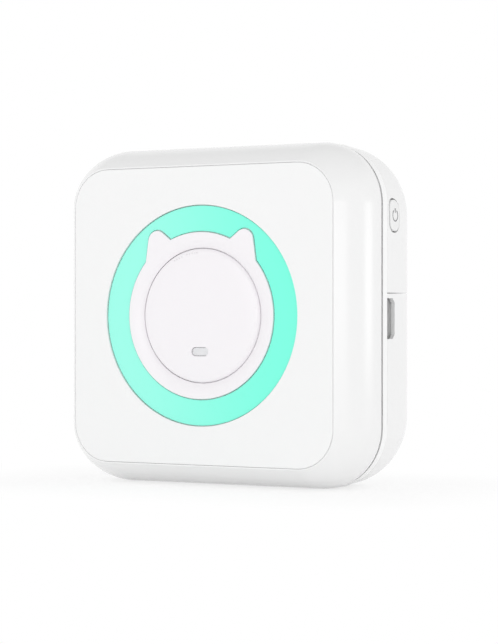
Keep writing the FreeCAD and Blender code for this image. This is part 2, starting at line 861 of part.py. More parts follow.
def add_hinge_ears(body):
    """Two ears that hold the lid's pin."""
    for low, high in mirrored("hinge_ear_inside", "hinge_ear_outside"):
        pad(body, "x", low, high, circle("hinge_y", "hinge_z", "hinge_ear_radius"))
        pad(body, "x", low, high, box("flange_front_y", "hinge_z - hinge_ear_radius",
                                      "hinge_y", "hinge_z + hinge_ear_radius"))
    pocket(body, "x", "-hinge_ear_outside", "hinge_ear_outside",
           circle("hinge_y", "hinge_z", "hinge_pin_radius"))


def rear_cover(label):
    """The hollow rear half, whole, before it is parted into the fixed cover and the lid."""
    body = new_body(label)
    inner = "top_z - rear_round - front_ledge"
    profile = new_sketch(body, "x", "0", [[
        ("rear_front_y", "top_z - edge_round", "edge_round"),
        ("rear_front_y + edge_round", "top_z"),
        ("back_y - rear_round", "top_z", "rear_round"),
        ("back_y", "top_z - rear_round"),
        ("back_y", inner),
        ("back_inside_y", inner),
        ("back_inside_y", "top_z - rear_round", "wall - rear_round"),
        ("back_y - rear_round", "top_z - wall"),
        ("rear_front_y", "top_z - wall"),
    ]])
    sweep(body, profile, housing_path(body, "rear_corner_radius"))
    pad(body, "y", "back_inside_y", "back_y",
        housing_outline("rear_round + front_ledge / 2", "rear_corner_radius"))
    return body


def make_rear_shell():
    """Fixed upper cover with the button's hole, the charging socket's hole and two bosses."""
    body = rear_cover("rear_shell")
    pocket(body, "y", "rear_front_y", "back_y",
           box("-half_width", "0", "half_width", "lid_seam_z + shut_line / 2"))
    pocket(body, "y", "back_inside_y - wall", "back_y", box("-slot_half", "0", "slot_half", "slot_high_z"))
    pocket(body, "x", "half_width - 2 * wall", "half_width", button_outline("0"))
    pocket(body, "z", "top_z - 2 * wall", "top_z", socket_outline("socket_gap"))
    for x, z in (("-boss_x", "left_boss_z"), ("boss_x", "right_boss_z")):
        pad(body, "y", "strip_rear_y", "strip_rear_y + boss_length", circle(x, z, "boss_radius"))
        pocket(body, "y", "strip_rear_y", "flange_front_y + case_screw_length",
               circle(x, z, "screw_radius"))


def make_paper_lid():
    """Hinged lower cover with its barrel, the platen's arms, the finger notches and the paper slot."""
    body = rear_cover("paper_lid")
    pocket(body, "y", "rear_front_y", "back_y",
           box("-half_width", "lid_seam_z - shut_line / 2", "half_width", "top_z"))
    pocket(body, "y", "back_inside_y - wall", "back_y", box("-slot_half", "slot_low_z", "slot_half", "top_z"))
    pocket(body, "x", "-half_width", "half_width", [
        ("rear_front_y", "hinge_z", "-hinge_radius"),
        ("hinge_y", "0"),
        ("rear_front_y - wall", "0"),
        ("rear_front_y - wall", "hinge_z"),
    ])
    pad(body, "x", "-hinge_ear_inside", "hinge_ear_inside", circle("hinge_y", "hinge_z", "hinge_radius"))
    slot_end = "hinge_radius + hinge_slot_margin"
    for low, high in mirrored("hinge_ear_inside - hinge_ear_gap", "hinge_ear_outside + hinge_ear_gap"):
        pocket(body, "x", low, high,
               box("rear_front_y - wall", "0", f"hinge_y + {slot_end}", f"hinge_z + {slot_end}"))
    pocket(body, "x", "-hinge_ear_inside", "hinge_ear_inside",
           circle("hinge_y", "hinge_z", "hinge_pin_radius + running_clearance"))
    for low, high in mirrored("arm_inside", "arm_outside"):
        pad(body, "x", low, high, [
            ("back_inside_y + wall / 2", "platen_z + arm_radius"),
            ("back_inside_y + wall / 2", "platen_z - arm_radius"),
            ("platen_y", "platen_z - arm_radius", "arm_radius"),
            ("platen_y", "platen_z + arm_radius"),
        ])
    pocket(body, "x", "-arm_outside", "arm_outside", circle("platen_y", "platen_z", "bushing_radius"))
    add_notches(body)


def add_notches(body):
    """A finger notch at the front edge of each side, thinned from the inside and backed by a rib."""
    low = "(lid_seam_z - notch_low)"
    high = f"({low} + notch_height)"
    far = "(strip_rear_y + notch_depth)"
    outline = [
        ("rear_front_y - wall", low), (f"{far} - notch_corner", low),
        (far, f"{low} + notch_corner"), (far, f"{high} - notch_corner"),
        (f"{far} - notch_corner", high), ("rear_front_y - wall", high),
    ]
    step = f"({far} + notch_step)"
    relief = box("rear_front_y - wall", f"{low} - notch_relief", step, "lid_seam_z")
    rib = box(step, f"{low} - notch_relief", f"{step} + notch_rib", high)
    for start, end in mirrored("half_width - 2 * wall", "half_width"):
        pocket(body, "x", start, end, outline)
    for start, end in mirrored("half_width - 2 * wall", "half_width - notch_edge"):
        pocket(body, "x", start, end, relief)
    for start, end in mirrored("half_width - 2 * wall", "half_width - wall / 2"):
        pad(body, "x", start, end, rib)


# Power button

def button_outline(inset):
    """The rounded outline of the button, drawn in by a gap."""
    half_width = f"(button_width / 2 - ({inset}))"
    half_height = f"(button_height / 2 - ({inset}))"
    return round_box(f"button_y - {half_width}", f"button_z - {half_height}",
                     f"button_y + {half_width}", f"button_z + {half_height}",
                     f"{half_width} - button_flat / 2")


def follow_corner(body, face):
    """Bend a face of the button inwards along with the rear cover's upper corner."""
    stand = f"({face} - half_width)"
    clear = "2 * wall"
    middle = "half_width - rear_corner_radius"
    pocket(body, "y", "button_y - button_width", "button_y + button_width", [
        (face, "middle_z"),
        (f"half_width + {clear}", "middle_z"),
        (f"half_width + {clear}", f"top_z + {clear}"),
        (middle, f"top_z + {clear}"),
        (middle, f"top_z + {stand}", f"rear_corner_radius + {stand}"),
        (face, "top_z - rear_corner_radius"),
    ])


def button_rim(edge):
    """The edge round the button's face, but not the line where the face starts to curve."""
    limits = edge.BoundBox
    outside = limits.XMin > number("half_width - wall / 2")
    return outside and abs(limits.Center.z - number("top_z - rear_corner_radius")) > NEAR


def make_power_button():
    """Push button with a lip that keeps it in, and a stem that reaches the switch."""
    body = new_body("power_button")
    pad(body, "x", "button_lip_in", "button_lip_out", button_outline("-button_lip"))
    follow_corner(body, "button_lip_out")
    pad(body, "x", "button_lip_in", "button_face", button_outline("button_gap"))
    follow_corner(body, "button_face")
    round_edges(body, "button_round", button_rim)
    pad(body, "x", "switch_right + plunger_reach", "button_lip_in",
        circle("button_y", "button_z", "button_stem_radius"))
    rod("switch_plunger", "x", "switch_right - plunger_inside", "switch_right + plunger_reach",
        "button_y", "button_z", "plunger_radius")
    switch = slab("tact_switch", "x", "switch_right - switch_length", "switch_right",
                  box("board_y - switch_thickness", "button_z - switch_height / 2",
                      "board_y", "button_z + switch_height / 2"))
    pocket(switch, "x", "switch_right - 2 * plunger_inside", "switch_right",
           circle("button_y", "button_z", "plunger_radius + plunger_gap"))


# Print mechanism

def plate_outline(high):
    """One side plate, from its foot up round the platen, the head's pivot and the gears."""
    return [
        ("strip_rear_y", "foot_z"),
        ("strip_rear_y + plate_margin", "foot_z"),
        ("gear_y + plate_margin", "platen_z - arm_radius - stud_radius"),
        ("platen_y + plate_margin", "platen_z - arm_radius - stud_radius"),
        ("platen_y + plate_margin", "platen_z + arm_radius + stud_radius"),
        ("gear_y + 2 * plate_margin", "nip_z + plate_margin"),
        ("gear_y + 2 * plate_margin", high),
        ("motor_y - motor_radius", high),
        ("motor_y - motor_radius - plate_margin", "motor_z - plate_margin"),
        ("motor_y - motor_radius - plate_margin", "motor_z - motor_radius - plate_margin"),
        (nip_point("-pivot_back", "pivot_rise")[0] + " - plate_margin",
         nip_point("-pivot_back", "pivot_rise")[1] + " - plate_margin"),
        ("strip_rear_y", "bar_top_z + plate_gap"),
    ]


def make_mechanism_frame():
    """Two side plates with open slots for the platen's shaft, joined by a bridge over the head."""
    body = new_body("mechanism_frame")
    pad(body, "x", "-plate_outside", "plate_outside",
        nip_box("-bridge_back", "bridge_rise", "bridge_front", "bridge_rise + bridge_thickness"))
    pad(body, "x", "-plate_outside", "-plate_inside", plate_outline("motor_high_z"))
    pad(body, "x", "plate_inside", "plate_outside", plate_outline("motor_z - motor_radius + plate_margin"))
    for low, high in mirrored("plate_inside", "plate_outside + foot_width"):
        pad(body, "y", "strip_rear_y", "strip_rear_y + plate_thickness",
            box(low, "foot_z", high, "foot_top_z"))
    pivot = nip_point("-pivot_back", "pivot_rise")
    pocket(body, "x", "-plate_outside", "plate_outside", circle(*pivot, "pivot_radius"))
    slot = "platen_shaft_radius + running_clearance"
    pocket(body, "x", "-plate_outside", "plate_outside", circle("platen_y", "platen_z", slot))
    pocket(body, "x", "-plate_outside", "plate_outside",
           box("platen_y", f"platen_z - ({slot}) - shaft_slot_drop", "back_inside_y", f"platen_z + {slot}"))
    pocket(body, "x", "-plate_outside", "-plate_inside", circle("gear_y", "gear_z", "stud_radius"))
    pocket(body, "x", "-plate_outside", "-plate_inside",
           circle("motor_y", "motor_z", "pinion_tip + gear_side_gap"))
    for sign in ("-", ""):
        pocket(body, "x", "-plate_outside", "-plate_inside", circle(*motor_ear(sign), "screw_radius"))
        pocket(body, "y", "strip_rear_y", "strip_rear_y + plate_thickness",
               circle(f"{sign}foot_screw_x", "foot_screw_z", "screw_radius"))


def motor_ear(sign):
    """The centre of one of the motor's two ears."""
    return (f"motor_y {sign or '+'} motor_ear_reach * cos(motor_ear_angle)",
            f"motor_z {sign or '+'} motor_ear_reach * sin(motor_ear_angle)")


def make_head():
    """Thermal head on its aluminium plate, its pivot pin and its two pressure springs."""
    half = "heatsink_half"
    plate = new_body("head_heatsink")
    pad(plate, "x", f"-{half}", half,
        nip_box("-heatsink_back", "substrate_top", "head_downstream", "heatsink_top"))
    for low, high in mirrored(f"{half} - 2 * head_ear_width", f"{half} - head_ear_width"):
        pad(plate, "x", low, high, nip_box(
            "-pivot_back - head_ear_length / 2", "heatsink_top - heatsink_thickness / 2",
            "-pivot_back + head_ear_length / 2", "pivot_rise + head_ear_length / 2"))
    pocket(plate, "x", f"-{half}", half,
           circle(*nip_point("-pivot_back", "pivot_rise"), "pivot_radius + running_clearance"))
    slab("head_substrate", "x", "-substrate_half", "substrate_half",
         nip_box("-head_upstream", "nip_gap", "head_downstream", "substrate_top"))
    slab("head_cover", "x", "head_cover_inset - substrate_half",
         "substrate_half - head_cover_inset",
         nip_box("-head_upstream + nip_gap", "nip_gap - head_cover_thickness",
                 "-head_upstream + head_cover_length", "nip_gap"))
    rod("head_pivot_pin", "x", "-plate_outside", "plate_outside",
        *nip_point("-pivot_back", "pivot_rise"), "pivot_radius")
    group("head_springs", [head_spring(name, x) for name, x in
                           (("head_spring_left", "-spring_x"), ("head_spring_right", "spring_x"))])


def head_spring(name, x):
    """A short sleeve of spring turns, square to the head's plate."""
    body = rod(name, "z", "heatsink_top", "bridge_rise", "0", "-spring_back", "spring_radius",
               "spring_radius - spring_wire")
    body.Placement = Placement(Vector(), Rotation(Vector(1, 0, 0), number("nip_angle")))
    for axis, place in zip("xyz", (x, "nip_y", "nip_z")):
        body.setExpression(f"Placement.Base.{axis}", link(place))
    body.setExpression("Placement.Rotation.Angle", link("nip_angle"))
    return body


def make_platen():
    """Rubber roller on a steel shaft, running in two bushings in the lid's arms."""
    rod("platen_shaft", "x", "-gear_middle - shaft_end / 2", "plate_outside + shaft_end",
        "platen_y", "platen_z", "platen_shaft_radius")
    rod("platen_sleeve", "x", "-platen_half", "platen_half", "platen_y", "platen_z",
        "platen_radius", "platen_shaft_radius")
    bushings = []
    for name, (low, high) in zip(("bushing_left", "bushing_right"), mirrored("arm_inside", "arm_outside")):
        bushings.append(rod(name, "x", low, high, "platen_y", "platen_z", "bushing_radius",
                            "platen_shaft_radius + running_clearance"))
    group("platen_bushings", bushings)


def gear_face(teeth, bore, start):
    """An involute gear's outline with its bore, a tooth's middle at the start angle."""
    module = number("gear_module")
    slope = math.radians(number("pressure_angle"))
    pitch = module * teeth / 2
    base = pitch * math.cos(slope)
    tip = pitch + module * number("gear_addendum")
    root = pitch - module * number("gear_dedendum")
    half_tooth = (math.pi * module / 2 - number("gear_backlash")) / (2 * pitch)
    spread = half_tooth + math.tan(slope) - slope

    def flank(radius):
        """Half of a tooth's angle at a radius."""
        roll = math.acos(min(base / radius, 1))
        return spread - math.tan(roll) + roll

    def place(radius, angle):
        """A point of the outline in the plane square to X."""
        return Vector(0, radius * math.cos(angle), radius * math.sin(angle))

    foot = max(base, root)
    edges = []
    for index in range(int(teeth)):
        middle = start + 2 * math.pi * index / teeth
        following = middle + 2 * math.pi / teeth
        half_way = (foot + tip) / 2
        rise = [place(r, middle - flank(r)) for r in (foot, half_way, tip)]
        fall = [place(r, middle + flank(r)) for r in (tip, half_way, foot)]
        low = place(root, middle - flank(foot))
        after = place(root, middle + flank(foot))
        edges.append(Part.Arc(*rise).toShape())
        edges.append(Part.Arc(rise[-1], place(tip, middle), fall[0]).toShape())
        edges.append(Part.Arc(*fall).toShape())
        if foot > root:
            edges.insert(len(edges) - 3, Part.LineSegment(low, rise[0]).toShape())
            edges.append(Part.LineSegment(fall[-1], after).toShape())
        next_low = place(root, following - flank(foot))
        edges.append(Part.Arc(after, place(root, middle + math.pi / teeth), next_low).toShape())
    hole = Part.Wire([Part.makeCircle(bore, Vector(), Vector(1, 0, 0))])
    return Part.makeFace([Part.Wire(edges), hole], "Part::FaceMakerBullseye")


def gear(label, shape, across, up):
    """A gear as one sub-part on its axis."""
    node = doc.addObject("Part::Feature", label)
    node.Label = label
    node.Shape = shape
    node.Placement = Placement(Vector(0, number(across), number(up)), Rotation())
    PARTS.append(node)


def toothed(teeth, bore, start, low, high):
    """A toothed wheel between two places along X."""
    face = gear_face(number(teeth), number(bore), start)
    face.translate(Vector(number(low), 0, 0))
    return face.extrude(Vector(number(high) - number(low), 0, 0))


def make_gears():
    """Platen gear, reduction gear and motor pinion, each set with a tooth facing a gap."""
    to_gear = math.radians(number("gear_angle"))
    to_motor = math.radians(number("motor_angle"))
    half_turn = math.pi
    gear("platen_gear", toothed("platen_teeth", "platen_shaft_radius", to_gear,
                                "-gear_middle", "-gear_inside"), "platen_y", "platen_z")
    bore = "stud_radius + running_clearance"
    small = toothed("small_teeth", bore, to_gear + half_turn + math.pi / number("small_teeth"),
                    "-large_inside", "-gear_inside")
    large = toothed("large_teeth", bore, to_motor, "-gear_outside", "-large_inside")
    gear("reduction_gear", small.fuse(large).removeSplitter(), "gear_y", "gear_z")
    gear("motor_pinion", toothed("pinion_teeth", "motor_shaft_radius",
                                 to_motor + half_turn + math.pi / number("pinion_teeth"),
                                 "-gear_outside", "-large_inside"), "motor_y", "motor_z")
    rod("gear_stud", "x", "-gear_outside - gear_side_gap - clip_thickness", "-plate_inside",
        "gear_y", "gear_z", "stud_radius")
    rod("gear_clip", "x", "-gear_outside - gear_side_gap / 2 - clip_thickness",
        "-gear_outside - gear_side_gap / 2", "gear_y", "gear_z", "clip_radius", "stud_radius")


def make_motor():
    """Stepping motor on the left side plate."""
    hole = "motor_shaft_radius + running_clearance"
    face = "-plate_inside + motor_flange"
    can = new_body("motor_can")
    pad(can, "x", face, f"{face} + motor_length", circle("motor_y", "motor_z", "motor_radius"))
    pocket(can, "x", face, f"{face} + motor_shaft_inside", circle("motor_y", "motor_z", hole))
    flange = new_body("motor_flange_plate")
    pad(flange, "x", "-plate_inside", face, circle("motor_y", "motor_z", "motor_radius"))
    for sign in ("-", ""):
        pad(flange, "x", "-plate_inside", face, circle(*motor_ear(sign), "motor_ear_radius"))
        pocket(flange, "x", "-plate_inside", face, circle(*motor_ear(sign), "screw_radius"))
    pocket(flange, "x", "-plate_inside", face, circle("motor_y", "motor_z", hole))
    rod("motor_shaft", "x", "-gear_outside", f"{face} + motor_shaft_inside - shaft_end",
        "motor_y", "motor_z", "motor_shaft_radius")


def make_tear_bar():
    """Thin bar with a row of teeth over the paper slot."""
    count = int(number("2 * slot_half / tear_tooth_pitch"))
    pitch = number("2 * slot_half") / count
    low = number("slot_high_z - tear_drop")
    left = -number("slot_half")
    points = []
    for index in range(count):
        points.append(Vector(left + index * pitch, 0, low + number("tear_tooth_depth")))
        points.append(Vector(left + index * pitch + pitch / 2, 0, low))
    points.append(Vector(-left, 0, low + number("tear_tooth_depth")))
    points.append(Vector(-left, 0, low + number("tear_bar_height")))
    points.append(Vector(left, 0, low + number("tear_bar_height")))
    outline = Part.makePolygon(points + points[:1])
    node = doc.addObject("Part::Feature", "tear_bar")
    node.Label = "tear_bar"
    node.Shape = Part.Face(outline).extrude(Vector(0, number("tear_bar_thickness"), 0))
    node.Placement = Placement(Vector(0, number("back_inside_y - tear_bar_thickness"), 0), Rotation())
    PARTS.append(node)


# Paper

def make_roll():
    """Roll of label paper on its core."""
    for label, radius, bore in (("paper_roll", "roll_radius", "core_radius"),
                                ("roll_core", "core_radius", "core_bore")):
        rod(label, "x", "-paper_width / 2", "paper_width / 2", "roll_y", "roll_z", radius, bore)


# Electronics

def make_main_board():
    """Circuit board with its chips, connectors and charging socket."""
    holes = [circle(x, z, "screw_radius") for x, z in board_screw_places()]
    slab("main_board", "y", "board_y", "board_back_y",
         round_box("board_left", "board_low", "board_right", "board_top", "board_corner"), *holes)
    chip_left = "board_left + board_width / 2"
    chip_low = "board_low + board_post_inset"
    slab("controller_chip", "y", "board_back_y", "board_back_y + chip_thickness",
         box(chip_left, chip_low, f"{chip_left} + chip_width", f"{chip_low} + chip_width"))
    radio_left = "board_left + board_post_inset"
    slab("radio_module", "y", "board_back_y", "board_back_y + radio_thickness",
         box(radio_left, chip_low, f"{radio_left} + radio_width", f"{chip_low} + radio_height"))
    capacitors = []
    for index in range(int(number("capacitor_count"))):
        x = f"{chip_left} - capacitor_radius * 2"
        z = f"{chip_low} + capacitor_radius + {index} * capacitor_pitch"
        capacitors.append(rod(f"capacitor_{index}", "y", "board_back_y",
                              "board_back_y + capacitor_length", x, z, "capacitor_radius"))
    group("board_capacitors", capacitors)
    connectors = []
    for name, x, z in (("battery_connector", "board_left", "lead_z"),
                       ("motor_connector", "board_left", "board_low"),):
        connectors.append(slab(name, "y", "board_y - connector_depth", "board_y",
                               box(x, z, f"{x} + connector_width", f"{z} + connector_height")))
    connectors.append(slab("ribbon_connector", "y", "board_y - connector_depth", "board_y",
                           box("-ribbon_width / 2 - socket_wall", "board_low",
                               "ribbon_width / 2 + socket_wall", "board_low + connector_height")))
    group("board_connectors", connectors)


def socket_outline(grow):
    """The charging socket's rounded mouth, grown by a gap."""
    half_width = f"(socket_width / 2 + {grow})"
    half_height = f"(socket_height / 2 + {grow})"
    middle = "(board_y - socket_height / 2)"
    return round_box(f"socket_x - {half_width}", f"{middle} - {half_height}",
                     f"socket_x + {half_width}", f"{middle} + {half_height}",
                     f"{half_height} - socket_flat / 2")


def make_charging_socket():
    """Charging socket that opens at the top, with its tongue."""
    body = new_body("charging_socket")
    high = "top_z - socket_sink"
    middle = "(board_y - socket_height / 2)"
    pad(body, "z", f"{high} - socket_length", high, socket_outline("0"))
    pocket(body, "z", f"{high} - socket_depth", high, socket_outline("-socket_wall"))
    pad(body, "z", f"{high} - socket_depth - socket_wall", f"{high} - socket_sink",
        box("socket_x - socket_tongue_width / 2", f"{middle} - socket_tongue / 2",
            "socket_x + socket_tongue_width / 2", f"{middle} + socket_tongue / 2"))


def make_battery():
    """Flat battery on a strip of foam tape behind the front wall."""
    slab("battery_pack", "y", "battery_y", "battery_y + battery_thickness",
         round_box("battery_left_x", "battery_low_z", "battery_right_x", "battery_top_z", "battery_round"))
    slab("battery_tape", "y", "front_inside_y", "battery_y",
         box("battery_left_x + tape_margin", "battery_top_z - tape_margin - tape_height",
             "battery_right_x - tape_margin", "battery_top_z - tape_margin"))


def lead(label, axis, place, start, path):
    """A round lead along straight runs and bends that lie square to an axis."""
    body = new_body(label)
    spine = new_sketch(body, axis, place, [path], closed=False)
    profile = new_sketch(body, "x", start, [circle(path[0][1], place, "lead_radius")])
    sweep(body, profile, spine)


def make_leads():
    """Battery lead, motor lead and the head's flat ribbon."""
    battery_mid = "battery_y + battery_thickness / 2"
    connector_mid = "board_y - connector_depth / 2"
    turn_x = "min(battery_left_x; board_left) - lead_radius"
    lead("battery_lead", "z", "lead_z + connector_height / 2", "battery_left_x", [
        ("battery_left_x", battery_mid),
        (turn_x, battery_mid, "lead_bend"),
        (f"{turn_x} - lead_bend", f"{battery_mid} + lead_bend"),
        (f"{turn_x} - lead_bend", f"{connector_mid} - lead_bend", "lead_bend"),
        (turn_x, connector_mid),
        ("board_left", connector_mid),
    ])
    motor_end = "-plate_inside + motor_flange + motor_length"
    lead("motor_lead", "z", "board_low + connector_height / 2", motor_end, [
        (motor_end, "motor_y"),
        ("board_left + connector_width / 2 - lead_bend", "motor_y", "-lead_bend"),
        ("board_left + connector_width / 2", "motor_y + lead_bend"),
        ("board_left + connector_width / 2", "board_y - connector_depth"),
    ])
    make_ribbon()


def make_ribbon():
    """Flat ribbon from the board down round the head's back to its substrate."""
    body = new_body("head_ribbon")
    top_y = "board_y - connector_depth / 2"
    run_z = "board_low - 2 * ribbon_bend"
    down_y = "battery_y + battery_thickness + ribbon_bend / 2"
    under = "substrate_top / 2"
    line_start = nip_point("-heatsink_back", under)
    line_end = nip_point("-head_upstream - nip_gap", under)
    turn_z = f"{line_start[1]} + ribbon_bend * cos(nip_angle)"
    gap = f"({line_start[0]} - ribbon_bend * sin(nip_angle) - ({down_y}) - ribbon_bend)"
    spine = new_sketch(body, "x", "0", [[
        (top_y, "board_low"),
        (top_y, f"{run_z} + ribbon_bend", "ribbon_bend"),
        (f"{top_y} - ribbon_bend", run_z),
        (f"{down_y} + ribbon_bend", run_z, "-ribbon_bend"),
        (down_y, f"{run_z} - ribbon_bend"),
        (down_y, turn_z, "-ribbon_bend"),
        (f"{down_y} + ribbon_bend", f"{turn_z} - ribbon_bend"),
        (f"{down_y} + ribbon_bend + {gap}", f"{turn_z} - ribbon_bend", "-ribbon_bend"),
        line_start,
        line_end,
    ]], closed=False)
    profile = new_sketch(body, "z", "board_low", [box(
        "-ribbon_width / 2", f"{top_y} - ribbon_thickness / 2",
        "ribbon_width / 2", f"{top_y} + ribbon_thickness / 2")])
    sweep(body, profile, spine)


def make_sensor():
    """Optical paper sensor on the frame's cross bar."""
    slab("paper_sensor", "y", "strip_rear_y", "strip_rear_y + sensor_thickness",
         box("sensor_x", "bar_z + tub_wall / 2", "sensor_x + sensor_width",
             "bar_z + tub_wall / 2 + sensor_height"))


# Fasteners

def screw(name, axis, seat, way, length, across, up):
    """A pan head screw with a cross slot, its head on a seat and its shank along a way."""
    body = new_body(name)
    head = (seat, f"({seat}) + screw_head") if way < 0 else (f"({seat}) - screw_head", seat)
    shank = (f"({seat}) - {length}", seat) if way < 0 else (seat, f"({seat}) + {length}")
    slot = (f"({seat}) + screw_head / 2", f"({seat}) + screw_head")
    if way > 0:
        slot = (f"({seat}) - screw_head", f"({seat}) - screw_head / 2")
    pad(body, axis, *head, circle(across, up, "screw_head_radius"))
    pad(body, axis, *shank, circle(across, up, "screw_radius"))
    long = "screw_slot_length / 2"
    thin = "screw_slot / 2"
    for wide, tall in ((long, thin), (thin, long)):
        pocket(body, axis, *slot, box(f"({across}) - {wide}", f"({up}) - {tall}",
                                      f"({across}) + {wide}", f"({up}) + {tall}"))
    return body


def screws(label, axis, seat, way, length, places):
    """Like screws as one node."""
    group(label, [screw(f"{label}_{index}", axis, seat, way, length, *place)
                  for index, place in enumerate(places)])


def make_screws():
    """All screws, by what they fasten."""
    corners = [(x, z) for x in ("-post_x", "post_x") for z in ("case_screw_z", "post_high_z")]
    screws("case_screws", "y", "strip_rear_y", -1, "case_screw_length", corners)
    screws("rear_shell_screws", "y", "flange_front_y", 1, "case_screw_length",
           [("-boss_x", "left_boss_z"), ("boss_x", "right_boss_z")])
    screws("board_screws", "y", "board_back_y", -1, "short_screw_length", board_screw_places())
    screws("mechanism_screws", "y", "strip_rear_y + plate_thickness", -1, "foot_screw_length",
           [("-foot_screw_x", "foot_screw_z"), ("foot_screw_x", "foot_screw_z")])
    screws("motor_screws", "x", "-plate_outside", 1, "plate_thickness + motor_flange",
           [motor_ear("-"), motor_ear("")])


def check_and_write():
    """Stop on any failed object or shape, then write each sub-part."""
    doc.recompute()
    for item in doc.Objects:
        if {"Invalid", "Error"} & set(item.State):
            raise RuntimeError(f"{item.Name} in {item.getParentGeoFeatureGroup()} failed: {item.State}")
    for item in PARTS:
        if item.Shape.isNull() or not item.Shape.isValid() or not item.Shape.Solids:
            raise RuntimeError(f"{item.Label} has no valid shape")
    os.makedirs("parts", exist_ok=True)
    for item in PARTS:
        item.Shape.exportStep(f"parts/{item.Label}.step")


make_front_shell()
make_front_panel()
make_ring()
make_ear_bezel()
make_centre_cap()
make_status_light()
make_mid_frame()
make_rear_shell()
make_paper_lid()
rod("lid_hinge_pin", "x", "-hinge_ear_outside", "hinge_ear_outside", "hinge_y", "hinge_z", "hinge_pin_radius")
make_power_button()
make_mechanism_frame()
make_head()
make_platen()
make_gears()
make_motor()
make_tear_bar()
make_roll()
make_main_board()
make_charging_socket()
make_battery()
make_leads()
make_sensor()
make_screws()
check_and_write()
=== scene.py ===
"""Looks of the pocket label printer: its finishes, the mark on its button, light, floor and camera."""

import math

import bpy
from mathutils import Matrix, Vector


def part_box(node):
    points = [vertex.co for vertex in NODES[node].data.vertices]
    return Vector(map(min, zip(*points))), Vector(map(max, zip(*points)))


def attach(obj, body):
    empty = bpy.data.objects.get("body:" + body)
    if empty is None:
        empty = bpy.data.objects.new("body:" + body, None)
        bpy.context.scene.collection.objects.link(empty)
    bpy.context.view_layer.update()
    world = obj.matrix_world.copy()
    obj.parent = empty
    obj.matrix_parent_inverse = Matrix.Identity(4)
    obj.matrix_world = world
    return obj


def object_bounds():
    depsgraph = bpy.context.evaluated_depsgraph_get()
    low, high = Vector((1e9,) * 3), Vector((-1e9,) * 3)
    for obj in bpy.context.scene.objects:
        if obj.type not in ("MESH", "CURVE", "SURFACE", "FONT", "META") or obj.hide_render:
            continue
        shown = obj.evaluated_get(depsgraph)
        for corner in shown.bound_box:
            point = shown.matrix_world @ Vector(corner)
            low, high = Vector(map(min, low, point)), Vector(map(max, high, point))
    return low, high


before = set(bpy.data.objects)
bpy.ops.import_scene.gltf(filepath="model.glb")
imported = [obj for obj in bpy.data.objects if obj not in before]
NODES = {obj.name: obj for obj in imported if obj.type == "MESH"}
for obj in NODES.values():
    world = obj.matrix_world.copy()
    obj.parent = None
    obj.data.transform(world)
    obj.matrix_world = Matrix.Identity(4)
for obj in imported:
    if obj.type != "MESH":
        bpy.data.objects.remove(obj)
CAD_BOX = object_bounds()

MM = 0.001

# Camera, as fitted to the photograph
FOCAL_LENGTH = 116.5
SENSOR = 36
CAMERA_YAW = math.radians(29.487)
CAMERA_PITCH = math.radians(0.154)
CAMERA_PLACE = Vector((266.2, -463.7, 42.8)) * MM

# Light: the brightness of the walls, of the dimmer ceiling beside them and the rise at which it begins,
# of the table's own glow and of each soft box, where 1 is white
MIDDLE = Vector((0, 0, CAD_BOX[1][2] / 2))
WALL_LIGHT = 1.06
CEILING = 0.68
CEILING_RISE = (0.45, 0.65)
TABLE_GLOW = 0.09
LAMP_DISTANCE = 1.0
SOFT_BOXES = (
    # name, turn from the front in degrees, middle's height, width and height in metres, brightness
    ("front_box", 8, 0.21, 0.7, 0.4, 0.95),
    ("right_box", 77, 0.07, 0.45, 0.12, 2.2),
    ("rim_box", 124, 0.07, 0.22, 0.12, 2.6),
)

# Floor: its side in metres, the half width and depth of what stands on it, how white it is shown there,
# and how far from there it is all white
FLOOR_SIDE = 6
FOOTPRINT = Vector((-CAD_BOX[0][0], CAD_BOX[1][1], 0))
NEAR_WHITE = 0.68
WHITE_FROM = 45 * MM

# Power mark on the button, in millimetres
MARK_RADIUS = 1.55
MARK_STROKE = 0.3
MARK_GAP = math.radians(70)
MARK_BAR = (0.65, 1.75)
MARK_PROUD = 0.03
MARK_SUNK = 0.1
MARK_STEPS = 40

# Finishes, as sRGB hex
SHELL_WHITE = "F3F3F3"
PANEL_WHITE = "F6F6F6"
BEZEL_WHITE = "F7F4F7"
# The strip's white moulding, made whiter than the shell as a painted highlight along the strip
STRIP_WHITE_PAINTED_HIGHLIGHT = "F9F9F9"
BUTTON_WHITE = "EFEFEF"
# Paler mint: a painted sheen on the ring's left, fading into the deeper mint at its right
MINT_PAINTED_SHEEN = "9DFFEB"
MINT_DEEP = "78FFE3"
MARK_GREY = "8A8A8C"
WINDOW_MILK = "F2F2F4"
LAMP_RESIN = "F0EED8"
SOLDER_MASK = "2C7B55"
TRACK_GREEN = "3B9268"
STEEL = "C9C9CB"
SPRING_STEEL = "B4B5B8"
ZINC = "CFCFCC"
TIN = "DADADA"
BRASS = "D9BE7A"
ALUMINIUM = "E1E1E2"
BLACK = "2B2B2C"
NYLON = "E7E3D3"
ACETAL = "EEEDE6"
RUBBER = "353536"
ALUMINA = "EBEAE4"
HEATER = "6A5140"
FILM_AMBER = "D9A24F"
FILM_COPPER = "B9762F"
VINYL_BLACK = "323234"
CELL_BLUE = "8FA4CF"
FOAM_BLACK = "3A3A3B"
PAPER_WHITE = "F6F6F4"
PAPER_EDGE = "DADBD8"
CARD_BROWN = "B89C77"
CARD_DARK = "9C815E"
FLOOR_WHITE = "FAFAFA"
PURE_WHITE = (1, 1, 1, 1)

# Refractive indices of the case's plastics
ABS_IOR = 1.54
POLYCARBONATE_IOR = 1.585

# A wave texture of scale 1 turns through this many radians in one unit of length
WAVE_TURN = 20


def linear(code):
    """An sRGB hex colour as linear red, green, blue and alpha."""
    channels = [int(code[place:place + 2], 16) / 255 for place in (0, 2, 4)]
    values = [c / 12.92 if c <= 0.04045 else ((c + 0.055) / 1.055) ** 2.4 for c in channels]
    return (*values, 1)


